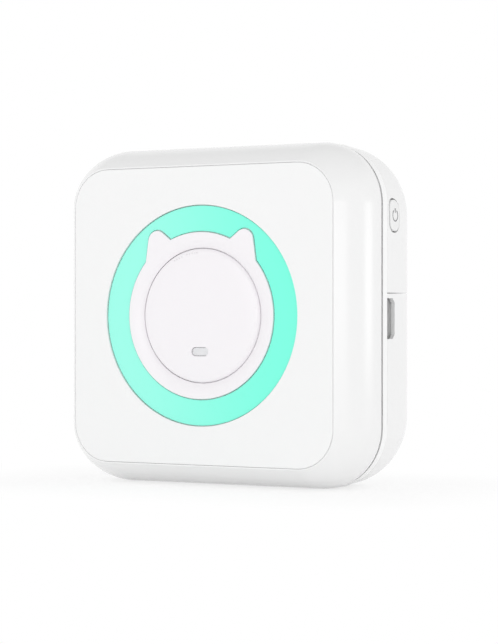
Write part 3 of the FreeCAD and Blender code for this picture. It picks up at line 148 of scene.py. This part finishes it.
def add(tree, kind, settings=None, inputs=None):
    """Add a node, set it up, then give each input its value or its link."""
    node = tree.nodes.new(kind)
    for name, value in (settings or {}).items():
        setattr(node, name, value)
    for name, value in (inputs or {}).items():
        if isinstance(value, bpy.types.NodeSocket):
            tree.links.new(value, node.inputs[name])
        else:
            node.inputs[name].default_value = value
    return node


def new_material(name):
    """An empty node material, its tree and the piece's own coordinates."""
    material = bpy.data.materials.new(name)
    material.use_nodes = True
    tree = material.node_tree
    tree.nodes.clear()
    return material, tree, add(tree, "ShaderNodeTexCoord").outputs["Object"]


def finish_material(tree, inputs):
    """Send one principled surface to the material's output."""
    shader = add(tree, "ShaderNodeBsdfPrincipled", None, inputs)
    add(tree, "ShaderNodeOutputMaterial", None, {"Surface": shader.outputs["BSDF"]})


# Materials

def moulded(name, colour, roughness, ior=ABS_IOR, grain=0.35, depth=0.02):
    """Moulded plastic: even colour, glossy to dull after the grain of its mould, its gloss slightly cloudy.

    The grain is a few hundredths of a millimetre in the real mould, drawn coarser so that it shows.
    """
    material, tree, place = new_material(name)
    cloud_size = 22 * MM
    gloss_spread = 0.15
    fine = add(tree, "ShaderNodeTexNoise", None, {"Vector": place, "Scale": 1 / (grain * MM), "Detail": 3})
    cloud = add(tree, "ShaderNodeTexNoise", None, {"Vector": place, "Scale": 1 / cloud_size, "Detail": 2})
    gloss = add(tree, "ShaderNodeMapRange", None, {
        "Value": cloud.outputs["Fac"], "To Min": roughness * (1 - gloss_spread),
        "To Max": roughness * (1 + gloss_spread)})
    tone = add(tree, "ShaderNodeMapRange", None, {
        "Value": cloud.outputs["Fac"], "To Min": 0.985, "To Max": 1})
    shade = add(tree, "ShaderNodeVectorMath", {"operation": "SCALE"}, {
        0: linear(colour)[:3], "Scale": tone.outputs["Result"]})
    bump = add(tree, "ShaderNodeBump", None, {
        "Height": fine.outputs["Fac"], "Strength": 0.08, "Distance": depth * MM})
    finish_material(tree, {
        "Base Color": shade.outputs["Vector"], "IOR": ior, "Roughness": gloss.outputs["Result"],
        "Normal": bump.outputs["Normal"]})
    return material


def mint_inlay():
    """Dyed polycarbonate: smooth and glossy, its mint paler at the left and deeper at the right, a painted
    sheen.
    """
    material, tree, place = new_material("dyed_polycarbonate_mint")
    across = add(tree, "ShaderNodeSeparateXYZ", None, {"Vector": place})
    reach = 28 * MM
    ripple = 9 * MM
    # Painted sheen: the colour runs from paler mint at the left to deeper mint at the right, standing in for
    # a reflection on the left
    depth = add(tree, "ShaderNodeMapRange", {"interpolation_type": "SMOOTHSTEP"}, {
        "Value": across.outputs["X"], "From Min": -reach, "From Max": reach})
    colour = add(tree, "ShaderNodeMix", {"data_type": "RGBA"}, {
        "Factor": depth.outputs["Result"], "A": linear(MINT_PAINTED_SHEEN), "B": linear(MINT_DEEP)})
    wave = add(tree, "ShaderNodeTexNoise", None, {"Vector": place, "Scale": 1 / ripple, "Detail": 1})
    bump = add(tree, "ShaderNodeBump", None, {
        "Height": wave.outputs["Fac"], "Strength": 0.1, "Distance": 0.05 * MM})
    finish_material(tree, {
        "Base Color": colour.outputs["Result"], "IOR": POLYCARBONATE_IOR, "Roughness": 0.3,
        "Normal": bump.outputs["Normal"]})
    return material


def milky_window():
    """Diffusing polycarbonate: milky, lets some light through, with a faint cloud of its filler."""
    material, tree, place = new_material("milky_polycarbonate")
    filler = 1.2 * MM
    cloud = add(tree, "ShaderNodeTexNoise", None, {"Vector": place, "Scale": 1 / filler, "Detail": 2})
    gloss = add(tree, "ShaderNodeMapRange", None, {
        "Value": cloud.outputs["Fac"], "To Min": 0.25, "To Max": 0.4})
    finish_material(tree, {
        "Base Color": linear(WINDOW_MILK), "IOR": POLYCARBONATE_IOR, "Roughness": gloss.outputs["Result"],
        "Transmission Weight": 0.1})
    return material


def lamp_resin():
    """Cast epoxy: clear yellowish resin over a phosphor, glossy with small lumps below the surface."""
    material, tree, place = new_material("cast_epoxy_lamp")
    lump_size = 0.4 * MM
    lump = add(tree, "ShaderNodeTexVoronoi", None, {"Vector": place, "Scale": 1 / lump_size})
    tone = add(tree, "ShaderNodeMapRange", None, {
        "Value": lump.outputs["Distance"], "To Min": 1, "To Max": 0.9})
    shade = add(tree, "ShaderNodeVectorMath", {"operation": "SCALE"}, {
        0: linear(LAMP_RESIN)[:3], "Scale": tone.outputs["Result"]})
    finish_material(tree, {
        "Base Color": shade.outputs["Vector"], "IOR": 1.53, "Roughness": 0.12, "Transmission Weight": 0.2})
    return material


def streaked_metal(name, colour, roughness, streak):
    """Worked metal: bright, its gloss broken by fine tool lines of a given size along each axis.

    The lines are a few hundredths of a millimetre wide in the real metal, drawn coarser so that they show.
    """
    material, tree, place = new_material(name)
    lines = add(tree, "ShaderNodeMapping", {"vector_type": "TEXTURE"}, {
        "Vector": place, "Scale": Vector(streak) * MM})
    streaks = add(tree, "ShaderNodeTexNoise", None, {
        "Vector": lines.outputs["Vector"], "Scale": 1, "Detail": 4})
    spread = 0.1
    gloss = add(tree, "ShaderNodeMapRange", None, {
        "Value": streaks.outputs["Fac"], "To Min": roughness - spread, "To Max": roughness + spread})
    tone = add(tree, "ShaderNodeMapRange", None, {
        "Value": streaks.outputs["Fac"], "To Min": 0.88, "To Max": 1.04})
    shade = add(tree, "ShaderNodeVectorMath", {"operation": "SCALE"}, {
        0: linear(colour)[:3], "Scale": tone.outputs["Result"]})
    bump = add(tree, "ShaderNodeBump", None, {
        "Height": streaks.outputs["Fac"], "Strength": 0.15, "Distance": 0.02 * MM})
    finish_material(tree, {
        "Base Color": shade.outputs["Vector"], "Metallic": 1, "Roughness": gloss.outputs["Result"],
        "Normal": bump.outputs["Normal"]})
    return material


def plated_sheet(name, colour, roughness, spangle):
    """Plated steel sheet: grey and half bright, with the crystal patches of the plating."""
    material, tree, place = new_material(name)
    patches = add(tree, "ShaderNodeTexVoronoi", None, {"Vector": place, "Scale": 1 / (spangle * MM)})
    patch = add(tree, "ShaderNodeSeparateColor", None, {"Color": patches.outputs["Color"]})
    spread = 0.08
    gloss = add(tree, "ShaderNodeMapRange", None, {
        "Value": patch.outputs["Red"], "To Min": roughness - spread, "To Max": roughness + spread})
    tone = add(tree, "ShaderNodeMapRange", None, {
        "Value": patch.outputs["Green"], "To Min": 0.86, "To Max": 1.02})
    shade = add(tree, "ShaderNodeVectorMath", {"operation": "SCALE"}, {
        0: linear(colour)[:3], "Scale": tone.outputs["Result"]})
    finish_material(tree, {
        "Base Color": shade.outputs["Vector"], "Metallic": 1, "Roughness": gloss.outputs["Result"]})
    return material


def solder_mask():
    """Glass-epoxy board under green solder mask: semi-gloss, with paler copper tracks standing through."""
    material, tree, place = new_material("glass_epoxy_solder_mask")
    upright = add(tree, "ShaderNodeMapping", None, {
        "Vector": place, "Rotation": (math.radians(-90), 0, 0)})
    tracks = add(tree, "ShaderNodeTexBrick", {"offset": 0.37, "squash": 0.6}, {
        "Vector": upright.outputs["Vector"], "Scale": 1 / MM, "Brick Width": 3.4, "Row Height": 1.27,
        "Mortar Size": 0.12, "Mortar Smooth": 0.3, "Color1": linear(SOLDER_MASK),
        "Color2": linear(SOLDER_MASK), "Mortar": linear(TRACK_GREEN)})
    bump = add(tree, "ShaderNodeBump", None, {
        "Height": tracks.outputs["Fac"], "Strength": 0.4, "Distance": 0.035 * MM})
    finish_material(tree, {
        "Base Color": tracks.outputs["Color"], "IOR": 1.55, "Roughness": 0.3,
        "Normal": bump.outputs["Normal"]})
    return material


def capacitor_can():
    """Electrolytic capacitors: black vinyl sleeve, bare aluminium at the end away from the board."""
    material, tree, place = new_material("sleeved_aluminium_can")
    along = add(tree, "ShaderNodeSeparateXYZ", None, {"Vector": place})
    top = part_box("board_capacitors")[1][1]
    bare_end = 0.3 * MM
    bare = add(tree, "ShaderNodeMath", {"operation": "GREATER_THAN"}, {
        0: along.outputs["Y"], 1: top - bare_end})
    colour = add(tree, "ShaderNodeMix", {"data_type": "RGBA"}, {
        "Factor": bare.outputs["Value"], "A": linear(BLACK), "B": linear(ALUMINIUM)})
    gloss = add(tree, "ShaderNodeMapRange", None, {
        "Value": bare.outputs["Value"], "To Min": 0.45, "To Max": 0.3})
    finish_material(tree, {
        "Base Color": colour.outputs["Result"], "Metallic": bare.outputs["Value"],
        "Roughness": gloss.outputs["Result"]})
    return material


def ground_rubber():
    """Silicone rubber ground to size: black and dull, with fine rings from the grinding wheel."""
    material, tree, place = new_material("ground_silicone_rubber")
    ring_size = Vector((0.25, 30, 30)) * MM
    rings = add(tree, "ShaderNodeMapping", {"vector_type": "TEXTURE"}, {"Vector": place, "Scale": ring_size})
    wear = add(tree, "ShaderNodeTexNoise", None, {"Vector": rings.outputs["Vector"], "Scale": 1, "Detail": 3})
    tone = add(tree, "ShaderNodeMapRange", None, {"Value": wear.outputs["Fac"], "To Min": 0.8, "To Max": 1.2})
    shade = add(tree, "ShaderNodeVectorMath", {"operation": "SCALE"}, {
        0: linear(RUBBER)[:3], "Scale": tone.outputs["Result"]})
    bump = add(tree, "ShaderNodeBump", None, {
        "Height": wear.outputs["Fac"], "Strength": 0.3, "Distance": 0.02 * MM})
    finish_material(tree, {
        "Base Color": shade.outputs["Vector"], "IOR": 1.41, "Roughness": 0.7,
        "Normal": bump.outputs["Normal"]})
    return material


def glazed_alumina():
    """Glazed alumina: hard white gloss, crossed by the dark line of heating dots."""
    material, tree, place = new_material("glazed_alumina")
    along = add(tree, "ShaderNodeSeparateXYZ", None, {"Vector": place})
    low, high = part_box("head_substrate")
    rise = 0.3
    half = 0.3 * MM
    faded = 1.3 * half
    line = low[2] + (high[2] - low[2]) * rise
    off = add(tree, "ShaderNodeMath", {"operation": "SUBTRACT"}, {0: along.outputs["Z"], 1: line})
    apart = add(tree, "ShaderNodeMath", {"operation": "ABSOLUTE"}, {0: off.outputs["Value"]})
    dark = add(tree, "ShaderNodeMapRange", None, {
        "Value": apart.outputs["Value"], "From Min": half, "From Max": faded, "To Min": 1, "To Max": 0})
    colour = add(tree, "ShaderNodeMix", {"data_type": "RGBA"}, {
        "Factor": dark.outputs["Result"], "A": linear(ALUMINA), "B": linear(HEATER)})
    finish_material(tree, {"Base Color": colour.outputs["Result"], "IOR": 1.6, "Roughness": 0.15})
    return material


def amber_film():
    """Polyimide film: clear amber over a row of copper lines, one millimetre apart."""
    material, tree, place = new_material("polyimide_film")
    pitch = 1 * MM
    lines = add(tree, "ShaderNodeTexWave", {"bands_direction": "X"}, {
        "Vector": place, "Scale": 2 * math.pi / (WAVE_TURN * pitch)})
    sharp = add(tree, "ShaderNodeMapRange", None, {
        "Value": lines.outputs["Fac"], "From Min": 0.4, "From Max": 0.6})
    colour = add(tree, "ShaderNodeMix", {"data_type": "RGBA"}, {
        "Factor": sharp.outputs["Result"], "A": linear(FILM_AMBER), "B": linear(FILM_COPPER)})
    finish_material(tree, {"Base Color": colour.outputs["Result"], "IOR": 1.7, "Roughness": 0.22})
    return material


def cell_film():
    """Printed film over a foil cell: glossy blue, slightly crumpled where the pouch is folded."""
    material, tree, place = new_material("film_over_foil")
    fold_size = 5 * MM
    fold = add(tree, "ShaderNodeTexNoise", None, {
        "Vector": place, "Scale": 1 / fold_size, "Detail": 3, "Distortion": 0.6})
    bump = add(tree, "ShaderNodeBump", None, {
        "Height": fold.outputs["Fac"], "Strength": 0.35, "Distance": 0.3 * MM})
    gloss = add(tree, "ShaderNodeMapRange", None, {
        "Value": fold.outputs["Fac"], "To Min": 0.18, "To Max": 0.34})
    finish_material(tree, {
        "Base Color": linear(CELL_BLUE), "Metallic": 0.35, "IOR": 1.57, "Roughness": gloss.outputs["Result"],
        "Normal": bump.outputs["Normal"]})
    return material


def foam():
    """Foamed polyethylene tape: black and matt, pitted with open cells."""
    material, tree, place = new_material("polyethylene_foam")
    cell_size = 0.5 * MM
    cells = add(tree, "ShaderNodeTexVoronoi", None, {"Vector": place, "Scale": 1 / cell_size})
    tone = add(tree, "ShaderNodeMapRange", None, {
        "Value": cells.outputs["Distance"], "To Min": 0.7, "To Max": 1.3})
    shade = add(tree, "ShaderNodeVectorMath", {"operation": "SCALE"}, {
        0: linear(FOAM_BLACK)[:3], "Scale": tone.outputs["Result"]})
    bump = add(tree, "ShaderNodeBump", None, {
        "Height": cells.outputs["Distance"], "Strength": 0.6, "Distance": 0.15 * MM})
    finish_material(tree, {
        "Base Color": shade.outputs["Vector"], "IOR": 1.5, "Roughness": 0.9,
        "Normal": bump.outputs["Normal"]})
    return material


def label_paper():
    """Coated paper, wound: smooth white round the roll, its many layers showing as rings on the ends.

    The layers are about a tenth of a millimetre thick, drawn four times as coarse so that they show.
    """
    material, tree, place = new_material("coated_label_paper")
    low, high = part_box("paper_roll")
    layer = 0.4 * MM
    fibre_size = 0.6 * MM
    centred = add(tree, "ShaderNodeVectorMath", {"operation": "SUBTRACT"}, {
        0: place, 1: [(a + b) / 2 for a, b in zip(low, high)]})
    layers = add(tree, "ShaderNodeTexWave", {"wave_type": "RINGS", "rings_direction": "X"}, {
        "Vector": centred.outputs["Vector"], "Scale": 2 * math.pi / (WAVE_TURN * layer)})
    fibre = add(tree, "ShaderNodeTexNoise", None, {"Vector": place, "Scale": 1 / fibre_size, "Detail": 4})
    colour = add(tree, "ShaderNodeMix", {"data_type": "RGBA"}, {
        "Factor": layers.outputs["Fac"], "A": linear(PAPER_EDGE), "B": linear(PAPER_WHITE)})
    bump = add(tree, "ShaderNodeBump", None, {
        "Height": fibre.outputs["Fac"], "Strength": 0.1, "Distance": 0.03 * MM})
    finish_material(tree, {
        "Base Color": colour.outputs["Result"], "IOR": 1.5, "Roughness": 0.55,
        "Normal": bump.outputs["Normal"]})
    return material


def core_card():
    """Spiral-wound card: dull brown with darker fibres and the edge of the strip winding round."""
    material, tree, place = new_material("spiral_wound_card")
    fibre_size = Vector((2, 0.4, 0.4)) * MM
    fibre = add(tree, "ShaderNodeMapping", {"vector_type": "TEXTURE"}, {"Vector": place, "Scale": fibre_size})
    fibres = add(tree, "ShaderNodeTexNoise", None, {
        "Vector": fibre.outputs["Vector"], "Scale": 1, "Detail": 4})
    colour = add(tree, "ShaderNodeMix", {"data_type": "RGBA"}, {
        "Factor": fibres.outputs["Fac"], "A": linear(CARD_BROWN), "B": linear(CARD_DARK)})
    bump = add(tree, "ShaderNodeBump", None, {
        "Height": fibres.outputs["Fac"], "Strength": 0.3, "Distance": 0.05 * MM})
    finish_material(tree, {
        "Base Color": colour.outputs["Result"], "IOR": 1.5, "Roughness": 0.85,
        "Normal": bump.outputs["Normal"]})
    return material


def dress(material, *names):
    """Give CAD nodes a material."""
    for name in names:
        node = NODES[name]
        node.data.materials.clear()
        node.data.materials.append(material)


def dress_case():
    """Finishes of the pieces that show from outside."""
    dress(moulded("abs_gloss_white", SHELL_WHITE, roughness=0.2, depth=0.01),
          "front_shell", "rear_shell", "paper_lid")
    dress(moulded("abs_smooth_white", PANEL_WHITE, roughness=0.32, grain=0.3, depth=0.01), "front_panel")
    dress(moulded("abs_polished_white", BEZEL_WHITE, roughness=0.3, grain=0.3, depth=0.01),
          "ear_bezel", "centre_cap")
    # Painted highlight: the strip gets a whiter white than the shell, for the light it catches
    dress(moulded("abs_white_painted_highlight", STRIP_WHITE_PAINTED_HIGHLIGHT, roughness=0.32, grain=0.3, depth=0.01), "mid_frame")
    dress(moulded("abs_button_white", BUTTON_WHITE, roughness=0.34, grain=0.3, depth=0.01), "power_button")
    dress(mint_inlay(), "accent_ring")
    dress(milky_window(), "status_window")


def dress_works():
    """Finishes of the pieces inside."""
    turned = (0.2, 30, 30)
    lengthwise = (30, 0.2, 0.2)
    drawn = (1.5, 1.5, 0.2)
    pressed = (3, 3, 0.4)
    dress(streaked_metal("ground_steel", STEEL, roughness=0.25, streak=turned),
          "lid_hinge_pin", "head_pivot_pin", "gear_stud", "platen_shaft", "motor_shaft")
    dress(streaked_metal("drawn_spring_steel", SPRING_STEEL, roughness=0.3, streak=drawn),
          "head_springs", "gear_clip")
    dress(streaked_metal("stainless_saw_strip", STEEL, roughness=0.28, streak=lengthwise), "tear_bar")
    dress(streaked_metal("turned_brass", BRASS, roughness=0.28, streak=turned), "motor_pinion")
    dress(streaked_metal("extruded_aluminium", ALUMINIUM, roughness=0.35, streak=lengthwise), "head_heatsink")
    dress(streaked_metal("nickel_plated_steel", TIN, roughness=0.22, streak=pressed), "charging_socket")
    dress(plated_sheet("zinc_plated_steel", ZINC, roughness=0.35, spangle=0.6),
          "case_screws", "rear_shell_screws", "board_screws", "mechanism_screws", "motor_screws")
    dress(plated_sheet("galvanised_sheet", ZINC, roughness=0.4, spangle=3),
          "mechanism_frame", "motor_can", "motor_flange_plate")
    dress(plated_sheet("tinned_steel", TIN, roughness=0.3, spangle=1.2), "radio_module")
    dress(solder_mask(), "main_board", "led_board")
    dress(lamp_resin(), "status_led")
    dress(moulded("moulded_epoxy_black", BLACK, roughness=0.55, ior=1.55, grain=0.2, depth=0.03),
          "controller_chip")
    dress(moulded("abs_black", BLACK, roughness=0.45), "tact_switch", "paper_sensor", "head_cover")
    dress(capacitor_can(), "board_capacitors")
    dress(moulded("nylon_cream", NYLON, roughness=0.45, ior=1.53), "board_connectors", "switch_plunger")
    dress(moulded("acetal_natural", ACETAL, roughness=0.4, ior=1.48),
          "platen_gear", "reduction_gear", "platen_bushings")
    dress(ground_rubber(), "platen_sleeve")
    dress(glazed_alumina(), "head_substrate")
    dress(amber_film(), "head_ribbon")
    dress(moulded("vinyl_black", VINYL_BLACK, roughness=0.5, ior=1.53, grain=0.5, depth=0.05),
          "battery_lead", "motor_lead")
    dress(cell_film(), "battery_pack")
    dress(foam(), "battery_tape")
    dress(label_paper(), "paper_roll")
    dress(core_card(), "roll_core")


# Power mark

def printed_ink():
    """Pad-printed ink: thin, grey and dull, a little uneven where the pad lifted."""
    material, tree, place = new_material("pad_printed_ink")
    blot_size = 0.3 * MM
    blot = add(tree, "ShaderNodeTexNoise", None, {"Vector": place, "Scale": 1 / blot_size, "Detail": 2})
    tone = add(tree, "ShaderNodeMapRange", None, {"Value": blot.outputs["Fac"], "To Min": 0.9, "To Max": 1.1})
    shade = add(tree, "ShaderNodeVectorMath", {"operation": "SCALE"}, {
        0: linear(MARK_GREY)[:3], "Scale": tone.outputs["Result"]})
    finish_material(tree, {"Base Color": shade.outputs["Vector"], "IOR": 1.5, "Roughness": 0.6})
    return material


def power_mark():
    """An open ring with a bar in its gap, printed on the button's face."""
    low, high = (Vector(corner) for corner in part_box("power_button"))
    outer = high.x + MARK_PROUD * MM
    inner = high.x - MARK_SUNK * MM
    centre = Vector(((outer + inner) / 2, (low.y + high.y) / 2, (low.z + high.z) / 2))
    stroke = MARK_STROKE * MM
    section = (outer - inner, stroke, 1)

    # One end of the ring's stroke, turned round the centre to the other end
    arm = Matrix.Rotation(MARK_GAP / 2, 3, "X") @ Vector((0, 0, MARK_RADIUS * MM - stroke / 2))
    bpy.ops.object.select_all(action="DESELECT")
    bpy.ops.mesh.primitive_plane_add(
        size=1, location=centre + arm, rotation=(math.radians(90) + MARK_GAP / 2, 0, 0))
    mark = bpy.context.object
    mark.name = "power_mark"
    mark.scale = section
    bpy.ops.object.transform_apply(location=True, rotation=True, scale=True)
    bpy.ops.object.mode_set(mode="EDIT")
    bpy.ops.mesh.select_all(action="SELECT")
    bpy.ops.mesh.spin(steps=MARK_STEPS, angle=MARK_GAP - 2 * math.pi, center=centre, axis=(1, 0, 0))

    # The bar, drawn up from its lower end
    foot = centre + Vector((0, 0, MARK_BAR[0] * MM))
    bpy.ops.mesh.select_all(action="DESELECT")
    bpy.ops.mesh.primitive_plane_add(size=1, location=foot)
    bpy.ops.transform.resize(value=section, center_override=foot)
    bpy.ops.mesh.extrude_region_move(
        TRANSFORM_OT_translate={"value": (0, 0, (MARK_BAR[1] - MARK_BAR[0]) * MM)})

    bpy.ops.mesh.select_all(action="SELECT")
    bpy.ops.mesh.fill_holes(sides=4)
    bpy.ops.mesh.normals_make_consistent(inside=False)
    bpy.ops.object.mode_set(mode="OBJECT")
    mark.data.materials.append(printed_ink())
    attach(mark, "button")


# Stage

def look_from(place, yaw, pitch):
    """A camera matrix for a place and a level look turned by yaw and tipped by pitch."""
    right = Vector((math.cos(yaw), math.sin(yaw), 0))
    level = Vector((-math.sin(yaw), math.cos(yaw), 0))
    ahead = level * math.cos(pitch) - Vector((0, 0, 1)) * math.sin(pitch)
    up = right.cross(ahead)
    turn = Matrix((right, up, -ahead)).transposed().to_4x4()
    return Matrix.Translation(place) @ turn


def make_camera():
    """The photograph's viewpoint."""
    data = bpy.data.cameras.new("camera")
    data.lens = FOCAL_LENGTH
    data.sensor_width = SENSOR
    camera = bpy.data.objects.new("camera", data)
    camera.matrix_world = look_from(CAMERA_PLACE, CAMERA_YAW, CAMERA_PITCH)
    bpy.context.scene.collection.objects.link(camera)
    bpy.context.scene.camera = camera


def make_lamp(name, place, width, height, brightness):
    """A soft box at a place, turned to the printer."""
    data = bpy.data.lights.new(name, "AREA")
    data.shape = "RECTANGLE"
    data.size = width
    data.size_y = height
    data.energy = math.pi * width * height * brightness
    lamp = bpy.data.objects.new(name, data)
    lamp.location = place
    lamp.rotation_euler = (MIDDLE - place).to_track_quat("-Z", "Y").to_euler()
    bpy.context.scene.collection.objects.link(lamp)


def shown_white(tree):
    """Rays that see the surroundings as white: those of the camera, of gloss and of clear pieces."""
    path = add(tree, "ShaderNodeLightPath")
    seen = path.outputs["Is Camera Ray"]
    for kind in ("Is Glossy Ray", "Is Transmission Ray"):
        seen = add(tree, "ShaderNodeMath", {"operation": "MAXIMUM"},
                   {0: seen, 1: path.outputs[kind]}).outputs["Value"]
    return seen


def make_light():
    """Soft boxes in front, at the right and behind the right, in a white room with a dimmer ceiling."""
    for name, turn, middle, width, height, brightness in SOFT_BOXES:
        angle = math.radians(turn)
        place = Vector((math.sin(angle) * LAMP_DISTANCE, -math.cos(angle) * LAMP_DISTANCE, middle))
        make_lamp(name, place, width, height, brightness)
    world = bpy.data.worlds.new("room")
    bpy.context.scene.world = world
    world.use_nodes = True
    tree = world.node_tree
    tree.nodes.clear()
    toward = add(tree, "ShaderNodeTexCoord")
    height = add(tree, "ShaderNodeSeparateXYZ", None, {"Vector": toward.outputs["Generated"]})
    room = add(tree, "ShaderNodeMapRange", {"interpolation_type": "SMOOTHSTEP"}, {
        "Value": height.outputs["Z"], "From Min": CEILING_RISE[0], "From Max": CEILING_RISE[1],
        "To Min": 1, "To Max": CEILING})
    share = add(tree, "ShaderNodeMapRange", None, {
        "Value": shown_white(tree), "To Min": WALL_LIGHT, "To Max": 1})
    strength = add(tree, "ShaderNodeMath", {"operation": "MULTIPLY"}, {
        0: room.outputs["Result"], 1: share.outputs["Result"]})
    light = add(tree, "ShaderNodeBackground", None, {
        "Color": PURE_WHITE, "Strength": strength.outputs["Value"]})
    add(tree, "ShaderNodeOutputWorld", None, {"Surface": light.outputs["Background"]})


def make_floor():
    """A pale, faintly glowing table that keeps the shadow beside the printer and runs out to white."""
    bpy.ops.object.select_all(action="DESELECT")
    bpy.ops.mesh.primitive_plane_add(size=FLOOR_SIDE, location=(0, 0, 0))
    floor = bpy.context.object
    floor.name = "floor"
    material, tree, place = new_material("pale_floor")
    side = add(tree, "ShaderNodeVectorMath", {"operation": "ABSOLUTE"}, {0: place})
    beyond = add(tree, "ShaderNodeVectorMath", {"operation": "SUBTRACT"}, {
        0: side.outputs["Vector"], 1: FOOTPRINT})
    outside = add(tree, "ShaderNodeVectorMath", {"operation": "MAXIMUM"}, {
        0: beyond.outputs["Vector"], 1: (0, 0, 0)})
    distance = add(tree, "ShaderNodeVectorMath", {"operation": "LENGTH"}, {0: outside.outputs["Vector"]})
    far = add(tree, "ShaderNodeMapRange", {"interpolation_type": "SMOOTHSTEP"}, {
        "Value": distance.outputs["Value"], "From Max": WHITE_FROM, "To Min": NEAR_WHITE})
    shown = add(tree, "ShaderNodeMath", {"operation": "MULTIPLY"}, {
        0: far.outputs["Result"], 1: shown_white(tree)})
    matt = add(tree, "ShaderNodeBsdfDiffuse", None, {"Color": linear(FLOOR_WHITE)})
    glow = add(tree, "ShaderNodeEmission", None, {"Color": PURE_WHITE, "Strength": TABLE_GLOW})
    table = add(tree, "ShaderNodeAddShader", None, {0: matt.outputs["BSDF"], 1: glow.outputs["Emission"]})
    white = add(tree, "ShaderNodeEmission", None, {"Color": PURE_WHITE, "Strength": 1})
    mixed = add(tree, "ShaderNodeMixShader", None, {
        "Fac": shown.outputs["Value"], 1: table.outputs["Shader"], 2: white.outputs["Emission"]})
    add(tree, "ShaderNodeOutputMaterial", None, {"Surface": mixed.outputs["Shader"]})
    floor.data.materials.append(material)


bpy.context.scene.view_settings.view_transform = "Standard"
make_camera()
make_light()
make_floor()
dress_case()
dress_works()
power_mark()
